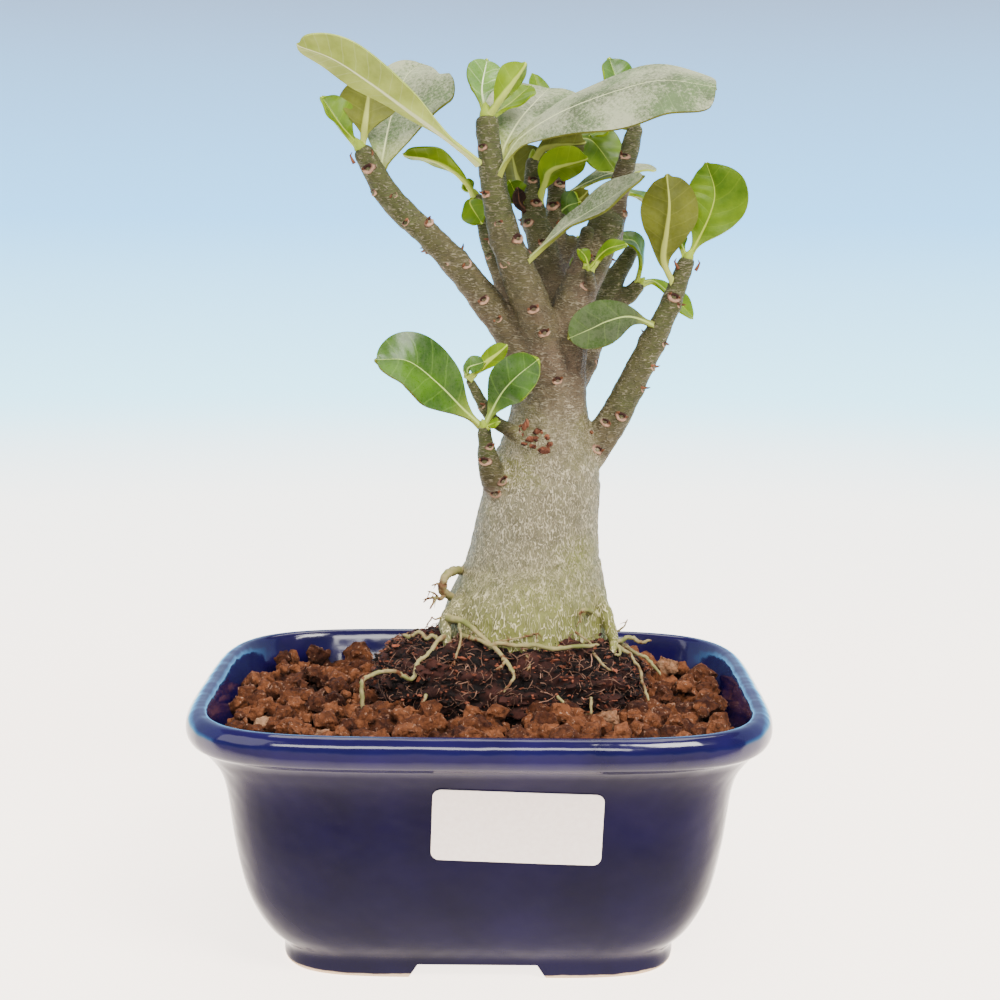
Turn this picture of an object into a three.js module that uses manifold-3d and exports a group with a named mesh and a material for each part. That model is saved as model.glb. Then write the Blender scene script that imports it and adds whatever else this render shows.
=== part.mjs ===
// A potted desert rose (adenium) grown as a small bonsai in a glazed ceramic pot.
// Millimetres, +Z up. The origin is the middle of the pot's base, and the viewer's side is -Y.

import * as THREE from 'three';
import { mergeVertices } from 'three/addons/utils/BufferGeometryUtils.js';
import Module from 'manifold-3d';

const wasm = await Module();
wasm.setup();

// Driving sizes
const RIM_HALF_LENGTH = 75;
const RIM_HALF_WIDTH = 61.5;
const FOOT_HALF_LENGTH = 51;
const FOOT_HALF_WIDTH = 43.8;
const POT_HEIGHT = 66.5;
const RIM_SQUARENESS = 4.46;
const FOOT_SQUARENESS = 5.4;
const POT_RING_POINTS = 36;
const FOOT_RING = 7.4;
const FOOT_GAP_HEIGHT = 3.4;
const FOOT_GAP_TOP = 15;
const FOOT_GAP_BOTTOM = 18;
const FLOOR_TOP = 9.2;
const DRAIN_RADIUS = 6.5;
const DRAIN_OFFSET = 22;
const DRAIN_SIDES = 20;
const FIT_GAP = 0.32;
const BARK_GAP = 0.34;
const SMALLEST_SOIL = 20;
const SMALLEST_LEAF = 6;

// Colours as the eye meets them
const GLAZE_BLUE = '#262a6a';
const GRANULE_BROWN = '#8a5432';
const PEAT_BROWN = '#3a241b';
const BARK_GREY = '#a09a80';
const LEAF_DUSTY = '#7f9478';
const LEAF_PALE = '#a7b26c';
const LEAF_FRESH = '#78a832';
const LEAF_DEEP = '#4f8a38';
const DRIED_BROWN = '#4a3023';
const LABEL_WHITE = '#f1f1ee';
const MESH_BLACK = '#2a2c2c';

const v3 = (p) => new THREE.Vector3(p[0], p[1], p[2]);
const lerp = THREE.MathUtils.lerp;
const rad = THREE.MathUtils.degToRad;

// A small repeatable random source, so every build gives the same plant
function randomSource(seed) {
  let state = seed;
  return () => {
    state = (state * 1664525 + 1013904223) % 4294967296;
    return state / 4294967296;
  };
}

// Closed meshes and solids

function meshOf(points, faces) {
  const geometry = new THREE.BufferGeometry();
  const numbers = points.flatMap((p) => [p.x, p.y, p.z]);
  geometry.setAttribute('position', new THREE.Float32BufferAttribute(numbers, 3));
  geometry.setIndex(facingOut(points, faces).flat());
  return geometry;
}

function facingOut(points, faces) {
  const volume = faces.reduce((sum, [a, b, c]) => {
    const cross = new THREE.Vector3().crossVectors(points[b], points[c]);
    return sum + points[a].dot(cross);
  }, 0);
  return volume < 0 ? faces.map(([a, b, c]) => [a, c, b]) : faces;
}

function solidOf(source) {
  const bare = source.clone();
  for (const name of Object.keys(bare.attributes)) {
    if (name !== 'position') bare.deleteAttribute(name);
  }
  const merged = mergeVertices(bare, 1e-4);
  const data = { numProp: 3, vertProperties: merged.attributes.position.array };
  data.triVerts = new Uint32Array(merged.index.array);
  return new wasm.Manifold(new wasm.Mesh(data));
}

function geometryOf(solid) {
  const mesh = solid.getMesh();
  const geometry = new THREE.BufferGeometry();
  geometry.setAttribute('position', new THREE.BufferAttribute(new Float32Array(mesh.vertProperties), 3));
  geometry.setIndex(new THREE.BufferAttribute(new Uint32Array(mesh.triVerts), 1));
  return geometry;
}

// Joins in pairs, so that many small solids stay quick to fuse
function joined(solids) {
  let list = solids;
  while (list.length > 1) {
    const next = [];
    for (let i = 0; i < list.length; i += 2) {
      next.push(i + 1 < list.length ? list[i].add(list[i + 1]) : list[i]);
    }
    list = next;
  }
  return list[0];
}

// Keeps the pieces worth having and drops the crumbs that a cut leaves loose
function withoutScraps(solid, smallest) {
  return joined(solid.decompose().filter((piece) => piece.volume() > smallest));
}

// Bands between rings of equally many points, closed at both ends by a fan
function loft(rings) {
  const count = rings[0].length;
  const points = rings.flat();
  const faces = [];
  for (let i = 0; i + 1 < rings.length; i += 1) {
    for (let j = 0; j < count; j += 1) {
      const k = (j + 1) % count;
      const low = i * count;
      const high = low + count;
      faces.push([low + j, low + k, high + k]);
      faces.push([low + j, high + k, high + j]);
    }
  }
  const last = (rings.length - 1) * count;
  const firstMiddle = points.push(middleOf(rings[0])) - 1;
  const lastMiddle = points.push(middleOf(rings.at(-1))) - 1;
  for (let j = 0; j < count; j += 1) {
    const k = (j + 1) % count;
    faces.push([firstMiddle, k, j]);
    faces.push([lastMiddle, last + j, last + k]);
  }
  return meshOf(points, faces);
}

function middleOf(ring) {
  return ring.reduce((sum, p) => sum.add(p), new THREE.Vector3()).divideScalar(ring.length);
}

// The pot

// One level of the pot: a rounded rectangle given by its half sizes and how square it is
function potRing(halfLength, halfWidth, z, squareness) {
  const ring = [];
  for (let i = 0; i < POT_RING_POINTS; i += 1) {
    const angle = ((i + 0.5) / POT_RING_POINTS) * Math.PI * 2;
    const c = Math.cos(angle);
    const s = Math.sin(angle);
    const x = halfLength * Math.sign(c) * Math.abs(c) ** (2 / squareness);
    const y = halfWidth * Math.sign(s) * Math.abs(s) ** (2 / squareness);
    ring.push(new THREE.Vector3(x, y, z));
  }
  return ring;
}

// Outer wall, height and half length, from the foot's sole up over the rolled lip
const OUTER_WALL = [
  [0, 50.4], [1, 51], [4.6, 51], [9.5, 55.4], [15.5, 58.9], [22, 61.2], [33, 63.4], [45, 65],
  [51, 67], [54.5, 69.9], [58, 73.4], [62.4, 75], [65.4, 74], [66.5, 71.6],
];

// The same levels narrow from the rim's plan to the foot's plan
function halfWidthAt(halfLength) {
  const t = (halfLength - FOOT_HALF_LENGTH) / (RIM_HALF_LENGTH - FOOT_HALF_LENGTH);
  return lerp(FOOT_HALF_WIDTH, RIM_HALF_WIDTH, t);
}

function squarenessAt(halfLength) {
  const t = (halfLength - FOOT_HALF_LENGTH) / (RIM_HALF_LENGTH - FOOT_HALF_LENGTH);
  return lerp(FOOT_SQUARENESS, RIM_SQUARENESS, THREE.MathUtils.clamp(t, 0, 1));
}

function wallHalfLengthAt(z) {
  for (let i = 0; i + 1 < OUTER_WALL.length; i += 1) {
    const [z0, a0] = OUTER_WALL[i];
    const [z1, a1] = OUTER_WALL[i + 1];
    if (z >= z0 && z <= z1) return lerp(a0, a1, (z - z0) / (z1 - z0));
  }
  return OUTER_WALL.at(-1)[1];
}

// Inner wall: height and half length, from the lip down to the floor
const INNER_WALL = [
  [65.4, 69.4], [58, 66.6], [50, 62.2], [36, 59.2], [22, 56.2], [13, 51.6], [FLOOR_TOP, 45],
];

const levelRing = (z, a) => potRing(a, halfWidthAt(a), z, squarenessAt(a));

function buildPot() {
  const outer = OUTER_WALL.map(([z, a]) => levelRing(z, a));
  const inner = INNER_WALL.map(([z, a]) => levelRing(z, a));
  const body = solidOf(loft([...outer, ...inner]));
  const sole = FOOT_HALF_LENGTH - FOOT_RING;
  const recess = solidOf(loft([levelRing(-1, sole), levelRing(FOOT_GAP_HEIGHT, sole)]));
  const gapShape = new THREE.Shape([
    new THREE.Vector2(-FOOT_GAP_BOTTOM, -1), new THREE.Vector2(FOOT_GAP_BOTTOM, -1),
    new THREE.Vector2(FOOT_GAP_TOP, FOOT_GAP_HEIGHT), new THREE.Vector2(-FOOT_GAP_TOP, FOOT_GAP_HEIGHT),
  ]);
  const gap = new THREE.ExtrudeGeometry(gapShape, { depth: 4 * FOOT_HALF_WIDTH, bevelEnabled: false });
  gap.rotateX(Math.PI / 2);
  gap.translate(0, 2 * FOOT_HALF_WIDTH, 0);
  const drains = [-1, 1].map((side) => {
    const drain = new THREE.CylinderGeometry(DRAIN_RADIUS, DRAIN_RADIUS, 3 * FLOOR_TOP, DRAIN_SIDES);
    drain.rotateX(Math.PI / 2);
    drain.translate(side * DRAIN_OFFSET, 0, 0);
    return solidOf(drain);
  });
  return [recess, solidOf(gap), ...drains].reduce((pot, cut) => pot.subtract(cut), body);
}

// Plastic mesh over each drain hole

const SCREEN_SIZE = 21;
const SCREEN_THICKNESS = 1;
const SCREEN_HOLES = 3;
const SCREEN_BAR = 1.8;

function buildScreen(side) {
  const pitch = (SCREEN_SIZE - SCREEN_BAR) / SCREEN_HOLES;
  const base = FLOOR_TOP + FIT_GAP + SCREEN_THICKNESS / 2;
  const plate = new THREE.BoxGeometry(SCREEN_SIZE, SCREEN_SIZE, SCREEN_THICKNESS);
  plate.translate(side * DRAIN_OFFSET, 0, base);
  const holes = [];
  for (let i = 0; i < SCREEN_HOLES; i += 1) {
    for (let j = 0; j < SCREEN_HOLES; j += 1) {
      const hole = new THREE.BoxGeometry(pitch - SCREEN_BAR, pitch - SCREEN_BAR, 3 * SCREEN_THICKNESS);
      const x = (i - (SCREEN_HOLES - 1) / 2) * pitch;
      const y = (j - (SCREEN_HOLES - 1) / 2) * pitch;
      hole.translate(side * DRAIN_OFFSET + x, y, base);
      holes.push(solidOf(hole));
    }
  }
  return solidOf(plate).subtract(joined(holes));
}

// A blank paper sticker on the front wall, tilted a little

const LABEL_CENTRE = [9.6, 43];
const LABEL_SIZE = [41.5, 18.6];
const LABEL_TILT = rad(-1.9);
const LABEL_THICKNESS = 0.6;

function frontWallY(x, z) {
  const a = wallHalfLengthAt(z);
  const n = squarenessAt(a);
  return -halfWidthAt(a) * (1 - Math.abs(x / a) ** n) ** (1 / n);
}

function buildLabel() {
  const columns = 5;
  const rows = 2;
  const points = [];
  for (const lift of [FIT_GAP, FIT_GAP + LABEL_THICKNESS]) {
    for (let j = 0; j <= rows; j += 1) {
      for (let i = 0; i <= columns; i += 1) {
        const across = (i / columns - 0.5) * LABEL_SIZE[0];
        const upward = (j / rows - 0.5) * LABEL_SIZE[1];
        const atCorner = (i === 0 || i === columns) && (j === 0 || j === rows);
        const pull = atCorner ? 0.97 : 1;
        const x = LABEL_CENTRE[0] + pull * (across * Math.cos(LABEL_TILT) - upward * Math.sin(LABEL_TILT));
        const z = LABEL_CENTRE[1] + pull * (across * Math.sin(LABEL_TILT) + upward * Math.cos(LABEL_TILT));
        points.push(new THREE.Vector3(x, frontWallY(x, z) - lift, z));
      }
    }
  }
  return slab(points, columns, rows);
}

// A thin closed sheet from two grids of points, alike on both faces
function slab(points, columns, rows) {
  const faces = [];
  const offset = (columns + 1) * (rows + 1);
  const at = (i, j, side) => side * offset + j * (columns + 1) + i;
  for (let j = 0; j < rows; j += 1) {
    for (let i = 0; i < columns; i += 1) {
      faces.push([at(i, j, 0), at(i + 1, j, 0), at(i + 1, j + 1, 0)]);
      faces.push([at(i, j, 0), at(i + 1, j + 1, 0), at(i, j + 1, 0)]);
      faces.push([at(i, j, 1), at(i + 1, j + 1, 1), at(i + 1, j, 1)]);
      faces.push([at(i, j, 1), at(i, j + 1, 1), at(i + 1, j + 1, 1)]);
    }
  }
  const edge = (i0, j0, i1, j1) => {
    faces.push([at(i0, j0, 0), at(i0, j0, 1), at(i1, j1, 1)]);
    faces.push([at(i0, j0, 0), at(i1, j1, 1), at(i1, j1, 0)]);
  };
  for (let i = 0; i < columns; i += 1) {
    edge(i, 0, i + 1, 0);
    edge(i + 1, rows, i, rows);
  }
  for (let j = 0; j < rows; j += 1) {
    edge(0, j + 1, 0, j);
    edge(columns, j, columns, j + 1);
  }
  return solidOf(meshOf(points, faces));
}

// The wood: one grown piece of swollen trunk, branches and surface roots

// Swollen trunk from its buried end up: middle x, height, radius
const TRUNK_Y = 14;
const TRUNK_LEVELS = [
  [11.5, 38, 4], [11.5, 47, 10], [11.5, 57, 17], [11.6, 66, 22], [11.8, 73, 23.4], [12, 80, 23],
  [12.4, 86.7, 21.6], [13.4, 92.6, 19.7], [14, 98.4, 18], [14.8, 105.5, 16.9], [15.7, 113, 16.2],
  [16.6, 120, 15.1], [17.3, 126.7, 13.3], [17.8, 133.5, 11.3], [18.2, 140, 10], [18.8, 147, 9],
  [19, 153, 6],
];
const TRUNK_SIDES = 20;
const FLUTE_DEPTH = 0.035;
const SWAY_DEPTH = 0.015;

// Branches: points along the middle with the radius there
const BRANCHES = {
  front: [[18.6, 12, 141, 8.4], [15.4, 8, 158.2, 5.6], [10.4, 4, 172.1, 4.9], [5.6, 1, 184.3, 4.2],
    [2.6, -1, 196.8, 3.5], [0.7, -2, 213.5, 3]],
  left: [[14.5, 12, 146, 6.6], [7.4, 10, 158.3, 4.8], [-7, 4, 176.6, 3.7], [-15.5, 1, 185.4, 3.4],
    [-24, -1, 193.5, 3.3], [-31, -3, 205.4, 2.6]],
  middle: [[19.5, 17, 148, 7.5], [19, 19, 165, 5.8], [16, 22, 180.5, 4.4], [13.2, 23, 191.2, 3.4],
    [13.1, 24.5, 204.5, 2]],
  middleRight: [[18.5, 20, 168, 4.6], [19.6, 26, 183.2, 3.1], [19.5, 28, 192.7, 2.8], [20, 30, 202.2, 2.3]],
  darkStub: [[19, 22, 175, 2.8], [24.3, 28, 183, 2.2]],
  thick: [[20, 13, 148, 7.4], [24, 12, 166.1, 5.5], [27.6, 12.2, 175, 5.1], [30.5, 13, 182, 5],
    [33, 14, 188.4, 4.9]],
  thickLeader: [[33.4, 16, 183, 3.8], [35.8, 16.4, 195.3, 3], [38.6, 18, 205.9, 2.6], [40.2, 19, 213, 2.2]],
  roughStub: [[26.1, 10.5, 177.6, 2.7], [27.4, 6.6, 186, 1.8]],
  tinyShoot: [[28.8, 8, 170.5, 1.5], [27.6, 3, 175.6, 1.1]],
  hooked: [[21, 18, 142.5, 6.2], [28.6, 24, 153.3, 3.9], [32.6, 28, 163.5, 3.5], [35.7, 31, 171.7, 2.9],
    [41, 34, 180.3, 2.1]],
  hookedSide: [[32.6, 28, 163, 2.9], [37.1, 30, 166.8, 2.5], [40.2, 31, 168.2, 2.3], [42.7, 31, 171, 1.8]],
  right: [[23, 14, 119.8, 5.6], [30.4, 13, 127.9, 4.7], [36.2, 12, 137.4, 4.1], [41.9, 11, 149.4, 3.7],
    [47.2, 10, 160.5, 3.2], [53.8, 8, 178, 2.3]],
  leftStub: [[10, 11, 111, 5.6], [4.6, 6, 118.2, 4.4], [1.9, 2, 124.2, 3.1], [0.4, -1, 134, 1.8]],
  thinStub: [[13, 10, 128.5, 2.6], [8, 5.4, 132.4, 2.1], [2.5, 2, 136.5, 1.7], [-3.4, 2, 146.4, 1.1]],
  rearLeft: [[13, 16, 156, 5.4], [5.7, 20, 171, 3.1], [1.8, 22, 180.4, 2.3], [-2.1, 24, 194.4, 1.6]],
};

// Roots over and in the soil, in the same form
const ROOTS = [
  [[-4.6, 6, 86, 3.4], [-9.5, -2, 81.6, 1.9], [-9, -5, 76.6, 1.4], [-8.6, -5.6, 72, 1]],
  [[-9.1, -2.6, 83.4, 1.2], [-5, -5, 83.1, 1], [-2.1, -7, 81.4, 0.85], [4.1, -12, 77.2, 0.7],
    [8.4, -18.4, 72.9, 0.6], [6.6, -20.8, 68.6, 0.45]],
  [[-4.8, -4.6, 79.3, 0.7], [2.5, -11, 78, 0.7], [10.1, -12, 78.1, 0.65], [18.2, -12.6, 77.5, 0.65],
    [25.4, -11, 77.9, 0.6], [31.4, -7.4, 77.6, 0.6]],
  [[-9, -4, 78.6, 0.9], [-12.8, -3.4, 78.4, 0.65], [-16.9, -2, 79, 0.6], [-20.9, -0.6, 78.4, 0.5]],
  [[-9.3, -5, 79.1, 0.8], [-12.9, -10.4, 76.4, 0.65], [-16.8, -15, 73, 0.6], [-18.1, -17.4, 70.2, 0.6],
    [-22, -19.4, 72.7, 0.55], [-28.2, -21.4, 72.1, 0.55], [-30.4, -22.6, 70.1, 0.55], [-30.2, -23, 63, 0.5]],
  [[27, 7, 91, 4], [33, 4, 83.6, 2.6], [34.8, 1, 79, 1.5], [35.2, -2.6, 74, 1]],
  [[34.8, -0.8, 76.6, 0.8], [39.4, 0.6, 77.7, 0.65], [42.5, 1, 76.4, 0.6], [45.7, 0, 77.2, 0.45]],
  [[34.6, -1, 76.5, 1], [40, -1, 73.5, 0.7], [42.6, -3.6, 69.8, 0.6], [43.9, -8, 64.8, 0.5],
    [45.2, -9, 60, 0.45]],
  [[34.8, 2, 77.6, 1], [41.4, 3, 73.1, 0.6], [46.4, 2.6, 69.9, 0.55], [48.7, 2, 66, 0.5]],
  [[-4, 13, 92.6, 1.4], [-7.5, 6, 94.6, 1.3], [-10.1, 2, 92.8, 1.2], [-10.1, 2.6, 89.8, 1.2],
    [-7.6, 7, 87, 1.2]],
  [[-9.6, 3.4, 88.7, 0.8], [-12.1, 0, 88.4, 0.55], [-15.3, -2, 87.4, 0.4]],
  [[-10.2, 2, 91.8, 0.6], [-13.2, 0, 91.6, 0.4]],
  [[28.4, 1, 84.6, 0.9], [28.7, -3.4, 86.2, 0.75], [27.3, -4.6, 86.2, 0.65], [26, -4.8, 84.6, 0.5]],
  [[18, 33, 81, 2.6], [22, 40, 76, 1.4], [23, 47, 70, 0.8]],
  [[-2, 28, 80, 2.2], [-9, 36, 76, 1.2], [-14, 42, 69, 0.8]],
  [[11.5, 14, 52, 6], [3, 4, 42, 3.4], [-6, -2, 32, 1.6]],
  [[11.5, 14, 52, 6], [22, 8, 41, 3.4], [28, -2, 30, 1.6]],
  [[11.5, 14, 52, 6], [14, 26, 40, 3.4], [10, 34, 28, 1.6]],
];

// A round stem along points with a radius each; its far end is rounded off
function stem(path, sides, grow) {
  const curve = new THREE.CatmullRomCurve3(path.map(v3), false, 'catmullrom', 0.5);
  const steps = (path.length - 1) * (path.length < 4 ? 2 : 1);
  const rings = [];
  let across = new THREE.Vector3(1, 0.13, 0.07);
  for (let i = 0; i <= steps; i += 1) {
    const t = i / steps;
    const along = curve.getTangent(t).normalize();
    across = across.clone().addScaledVector(along, -across.dot(along)).normalize();
    const other = new THREE.Vector3().crossVectors(along, across);
    const span = Math.min(Math.floor(t * (path.length - 1)), path.length - 2);
    const local = t * (path.length - 1) - span;
    const radius = lerp(path[span][3], path[span + 1][3], local) + grow;
    const centre = curve.getPoint(t);
    if (i === 0) centre.addScaledVector(along, -grow);
    rings.push(ringAround(centre, across, other, radius, sides));
    if (i === steps) {
      const cap = centre.clone().addScaledVector(along, radius * 0.45 + grow);
      rings.push(ringAround(cap, across, other, radius * 0.62, sides));
    }
  }
  return solidOf(loft(rings));
}

function ringAround(centre, across, other, radius, sides) {
  return Array.from({ length: sides }, (_, j) => {
    const angle = (j / sides) * Math.PI * 2;
    return centre.clone()
      .addScaledVector(across, radius * Math.cos(angle))
      .addScaledVector(other, radius * Math.sin(angle));
  });
}

function swollenTrunk(grow) {
  const rings = TRUNK_LEVELS.map(([x, z, radius], level) => {
    const spread = THREE.MathUtils.clamp((110 - z) / 40, 0, 1);
    return Array.from({ length: TRUNK_SIDES }, (_, j) => {
      const angle = (j / TRUNK_SIDES) * Math.PI * 2;
      const flute = FLUTE_DEPTH * spread * Math.sin(3 * angle + 0.6);
      const sway = SWAY_DEPTH * Math.sin(5 * angle + level * 0.2);
      const r = radius * (1 + flute + sway) + grow;
      return new THREE.Vector3(x + r * Math.cos(angle), TRUNK_Y + r * Math.sin(angle), z);
    });
  });
  if (grow > 0) {
    rings[0].forEach((p) => { p.z -= grow; });
    rings.at(-1).forEach((p) => { p.z += grow; });
  }
  return solidOf(loft(rings));
}

// Raised leaf scars winding up a branch, one golden angle apart
const SCAR_SPACING = 7.4;
const SCAR_TURN = rad(137.5);
const SCAR_RADIUS = 1.5;
const SCARS_FROM = 0.3;
const SCARS_OVER = 0.66;
const SCAR_SINK = 0.9;

function scarsOn(path, grow, first) {
  const curve = new THREE.CatmullRomCurve3(path.map(v3), false, 'catmullrom', 0.5);
  const scars = [];
  const count = Math.floor((curve.getLength() * SCARS_OVER) / SCAR_SPACING);
  for (let i = 0; i < count; i += 1) {
    const t = SCARS_FROM + (SCARS_OVER * i) / count;
    const along = curve.getTangent(t).normalize();
    const side = new THREE.Vector3(0, -1, 0).addScaledVector(along, along.y).normalize();
    side.applyAxisAngle(along, first + i * SCAR_TURN);
    const span = Math.min(Math.floor(t * (path.length - 1)), path.length - 2);
    const radius = lerp(path[span][3], path[span + 1][3], t * (path.length - 1) - span);
    const scar = new THREE.OctahedronGeometry(SCAR_RADIUS + grow);
    scar.scale(1, 0.8, 0.75);
    const turn = new THREE.Matrix4().lookAt(new THREE.Vector3(), side, along);
    scar.applyMatrix4(turn);
    const place = curve.getPoint(t).addScaledVector(side, radius * SCAR_SINK);
    scar.translate(place.x, place.y, place.z);
    scars.push(solidOf(scar));
  }
  return scars;
}

const SCARRED = ['front', 'left', 'middle', 'thick', 'right'];

function buildWood(grow) {
  const stems = Object.values(BRANCHES).map((path) => stem(path, path[0][3] > 3.2 ? 8 : 6, grow));
  const roots = ROOTS.map((path) => stem(path, path[0][3] > 2.5 ? 6 : 5, grow));
  const scars = SCARRED.flatMap((name, index) => scarsOn(BRANCHES[name], grow, index));
  return joined([swollenTrunk(grow), ...stems, ...roots, ...scars]);
}

// Soil: a peat root ball with a fill of baked clay granules around it

const BALL_CENTRE = [7.5, 12];
const BALL_LEVELS = [
  [16, 20, 17], [30, 26, 22], [48, 31, 28], [58, 34.5, 31.5], [64.5, 37, 33.6], [69, 35.4, 31.6],
  [73, 32, 28.6], [76, 28, 25], [78, 20, 18],
];
const BALL_SIDES = 24;
const BALL_SQUARENESS = 2.8;

function buildRootBall(grow) {
  const draw = randomSource(11);
  const rings = BALL_LEVELS.map(([z, halfX, halfY], level) => {
    const rough = level < 3 ? 0.3 : 1.7;
    return Array.from({ length: BALL_SIDES }, (_, j) => {
      const angle = (j / BALL_SIDES) * Math.PI * 2;
      const bump = (draw() - 0.5) * 2 * rough;
      const lift = level > 3 ? (draw() - 0.5) * 2.2 : 0;
      const c = Math.cos(angle);
      const s = Math.sin(angle);
      const spread = Math.abs(c) ** BALL_SQUARENESS + Math.abs(s) ** BALL_SQUARENESS;
      const square = spread ** (-1 / BALL_SQUARENESS);
      const x = BALL_CENTRE[0] + (halfX + bump + grow) * c * square;
      const y = BALL_CENTRE[1] + (halfY + bump + grow) * s * square;
      return new THREE.Vector3(x, y, z + lift - (level === 0 ? grow : 0));
    });
  });
  return solidOf(loft(rings));
}

const GRANULE_PITCH = 8.7;
const GRANULE_SHIFT = 2.6;
const GRANULE_TURN = 50;
const GRANULE_LOW = 2.4;
const GRANULE_HIGH = [1, 4.2];
const FIELD_FLOOR = -5;

// The fill is nearly level with the lip in front and lower at the back
const fillHeightAt = (y) => 60.4 - 0.03 * y;

// The inside of the pot less a small gap, carried up past the lip
function insideRoom() {
  const levels = INNER_WALL.slice(1).reverse();
  levels[0] = [FLOOR_TOP + FIT_GAP, levels[0][1]];
  levels.push([POT_HEIGHT + 20, INNER_WALL[1][1]]);
  return solidOf(loft(levels.map(([z, a]) => levelRing(z, a - FIT_GAP * 1.25))));
}

// Crumbly granules side by side: each is a six-cornered cell whose corners lie low between its
// neighbours, with a three-cornered top raised at its own height
function granuleField() {
  const draw = randomSource(5);
  const points = [];
  const known = new Map();
  const faces = [];
  const radius = GRANULE_PITCH / Math.sqrt(3);
  const corner = (x, y) => {
    const key = `${Math.round(x * 4)},${Math.round(y * 4)}`;
    if (!known.has(key)) {
      const shiftX = (draw() - 0.5) * GRANULE_SHIFT;
      const shiftY = (draw() - 0.5) * GRANULE_SHIFT;
      const drop = GRANULE_LOW * (0.5 + draw());
      known.set(key, points.push(new THREE.Vector3(x + shiftX, y + shiftY, fillHeightAt(y) - drop)) - 1);
    }
    return known.get(key);
  };
  const rows = Math.ceil(RIM_HALF_WIDTH / (radius * 1.5));
  const columns = Math.ceil(RIM_HALF_LENGTH / GRANULE_PITCH);
  for (let row = -rows; row <= rows; row += 1) {
    for (let column = -columns; column <= columns; column += 1) {
      const x = (column + (row % 2 ? 0.5 : 0)) * GRANULE_PITCH;
      const y = row * radius * 1.5;
      const ring = [];
      for (let k = 0; k < 6; k += 1) {
        const angle = rad(30 + 60 * k);
        ring.push(corner(x + radius * Math.cos(angle), y + radius * Math.sin(angle)));
      }
      const tall = lerp(GRANULE_HIGH[0], GRANULE_HIGH[1], draw());
      const first = draw() < 0.5 ? 0 : 1;
      const turn = (draw() - 0.5) * GRANULE_TURN;
      const tops = [0, 1, 2].map((k) => {
        const angle = rad(60 * (first + 1) + 120 * k + turn);
        const reach = radius * (0.45 + 0.25 * draw());
        const z = fillHeightAt(y) + tall * (0.7 + 0.5 * draw());
        return points.push(new THREE.Vector3(x + reach * Math.cos(angle), y + reach * Math.sin(angle), z)) - 1;
      });
      for (let k = 0; k < 3; k += 1) {
        const [from, middle, to] = [0, 1, 2].map((step) => ring[(first + 2 * k + step) % 6]);
        faces.push([from, middle, tops[k]]);
        faces.push([middle, to, tops[k]]);
        faces.push([to, tops[(k + 1) % 3], tops[k]]);
      }
      faces.push(tops);
    }
  }
  return closedDown(points, faces, FIELD_FLOOR);
}

// Closes a surface seen from above with straight sides and a flat underside
function closedDown(points, faces, floor) {
  const count = points.length;
  const all = [...points, ...points.map((p) => new THREE.Vector3(p.x, p.y, floor))];
  const edges = new Map();
  for (const [a, b, c] of faces) {
    for (const [from, to] of [[a, b], [b, c], [c, a]]) edges.set(`${from},${to}`, [from, to]);
  }
  const closed = [...faces, ...faces.map(([a, b, c]) => [a + count, c + count, b + count])];
  for (const [from, to] of edges.values()) {
    if (edges.has(`${to},${from}`)) continue;
    closed.push([from, from + count, to + count]);
    closed.push([from, to + count, to]);
  }
  return solidOf(meshOf(all, closed));
}

function buildGranules(wood, rootBallRoom, screens) {
  const fill = insideRoom().intersect(granuleField());
  const cut = [rootBallRoom, ...screens, wood].reduce((rest, room) => rest.subtract(room), fill);
  return withoutScraps(cut, SMALLEST_SOIL);
}

function screenRoom(side) {
  const size = SCREEN_SIZE + 2 * FIT_GAP;
  const room = new THREE.BoxGeometry(size, size, 2 * (SCREEN_THICKNESS + 2 * FIT_GAP));
  room.translate(side * DRAIN_OFFSET, 0, FLOOR_TOP);
  return solidOf(room);
}

// Leaves

const BLADE_THICKNESS = 0.8;
const STALK_THICKNESS = 1.5;
const BROAD_LEAF = 9;

// Width of the blade along its length: a stalk, then widest past the middle, then a round end.
// A lower belly puts the widest place nearer the stalk, and a higher point sharpens the end
function bladeWidth(t, belly, point) {
  const swell = Math.sin(Math.PI * Math.min(t, 0.985) ** belly);
  const widest = 0.5 ** (1 / belly);
  return t < widest ? swell ** 1.2 : swell ** point;
}

// One leaf: its midrib runs through rib, face is the way that its upper side looks, fold is how
// far each half is raised (or lowered, below zero) from flat, and skew widens one half
function leaf({ rib, width, face, fold = 12, wave = 0.3, belly = 1.75, point = 0.45, skew = 0 }) {
  const stations = width > BROAD_LEAF ? 6 : 4;
  const columns = width > BROAD_LEAF ? 4 : 2;
  const curve = new THREE.CatmullRomCurve3(rib.map(v3), false, 'catmullrom', 0.5);
  const faceWay = v3(face).normalize();
  const upper = [];
  const lower = [];
  for (let i = 0; i <= stations; i += 1) {
    const t = i / stations;
    const along = curve.getTangentAt(t).normalize();
    const across = new THREE.Vector3().crossVectors(along, faceWay).normalize();
    const normal = new THREE.Vector3().crossVectors(across, along);
    const half = Math.max(width / 2 * bladeWidth(t, belly, point), i === 0 ? 0.8 : 1);
    const thickness = lerp(STALK_THICKNESS, BLADE_THICKNESS, Math.min(1, t * 2.6));
    for (let j = 0; j <= columns; j += 1) {
      const s = (j / columns) * 2 - 1;
      const reach = half * (1 + skew * Math.sign(s));
      const raise = Math.abs(s) * reach * Math.tan(rad(fold));
      const ripple = wave * Math.abs(s) * Math.sin(i * 2.3 + (s > 0 ? 0 : 1.4)) * Math.min(1, half / 4);
      const middle = curve.getPointAt(t).addScaledVector(across, s * reach);
      middle.addScaledVector(normal, raise + ripple);
      upper.push(middle.clone().addScaledVector(normal, thickness / 2));
      lower.push(middle.clone().addScaledVector(normal, -thickness / 2));
    }
  }
  return slab([...lower, ...upper], columns, stations);
}

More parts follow.
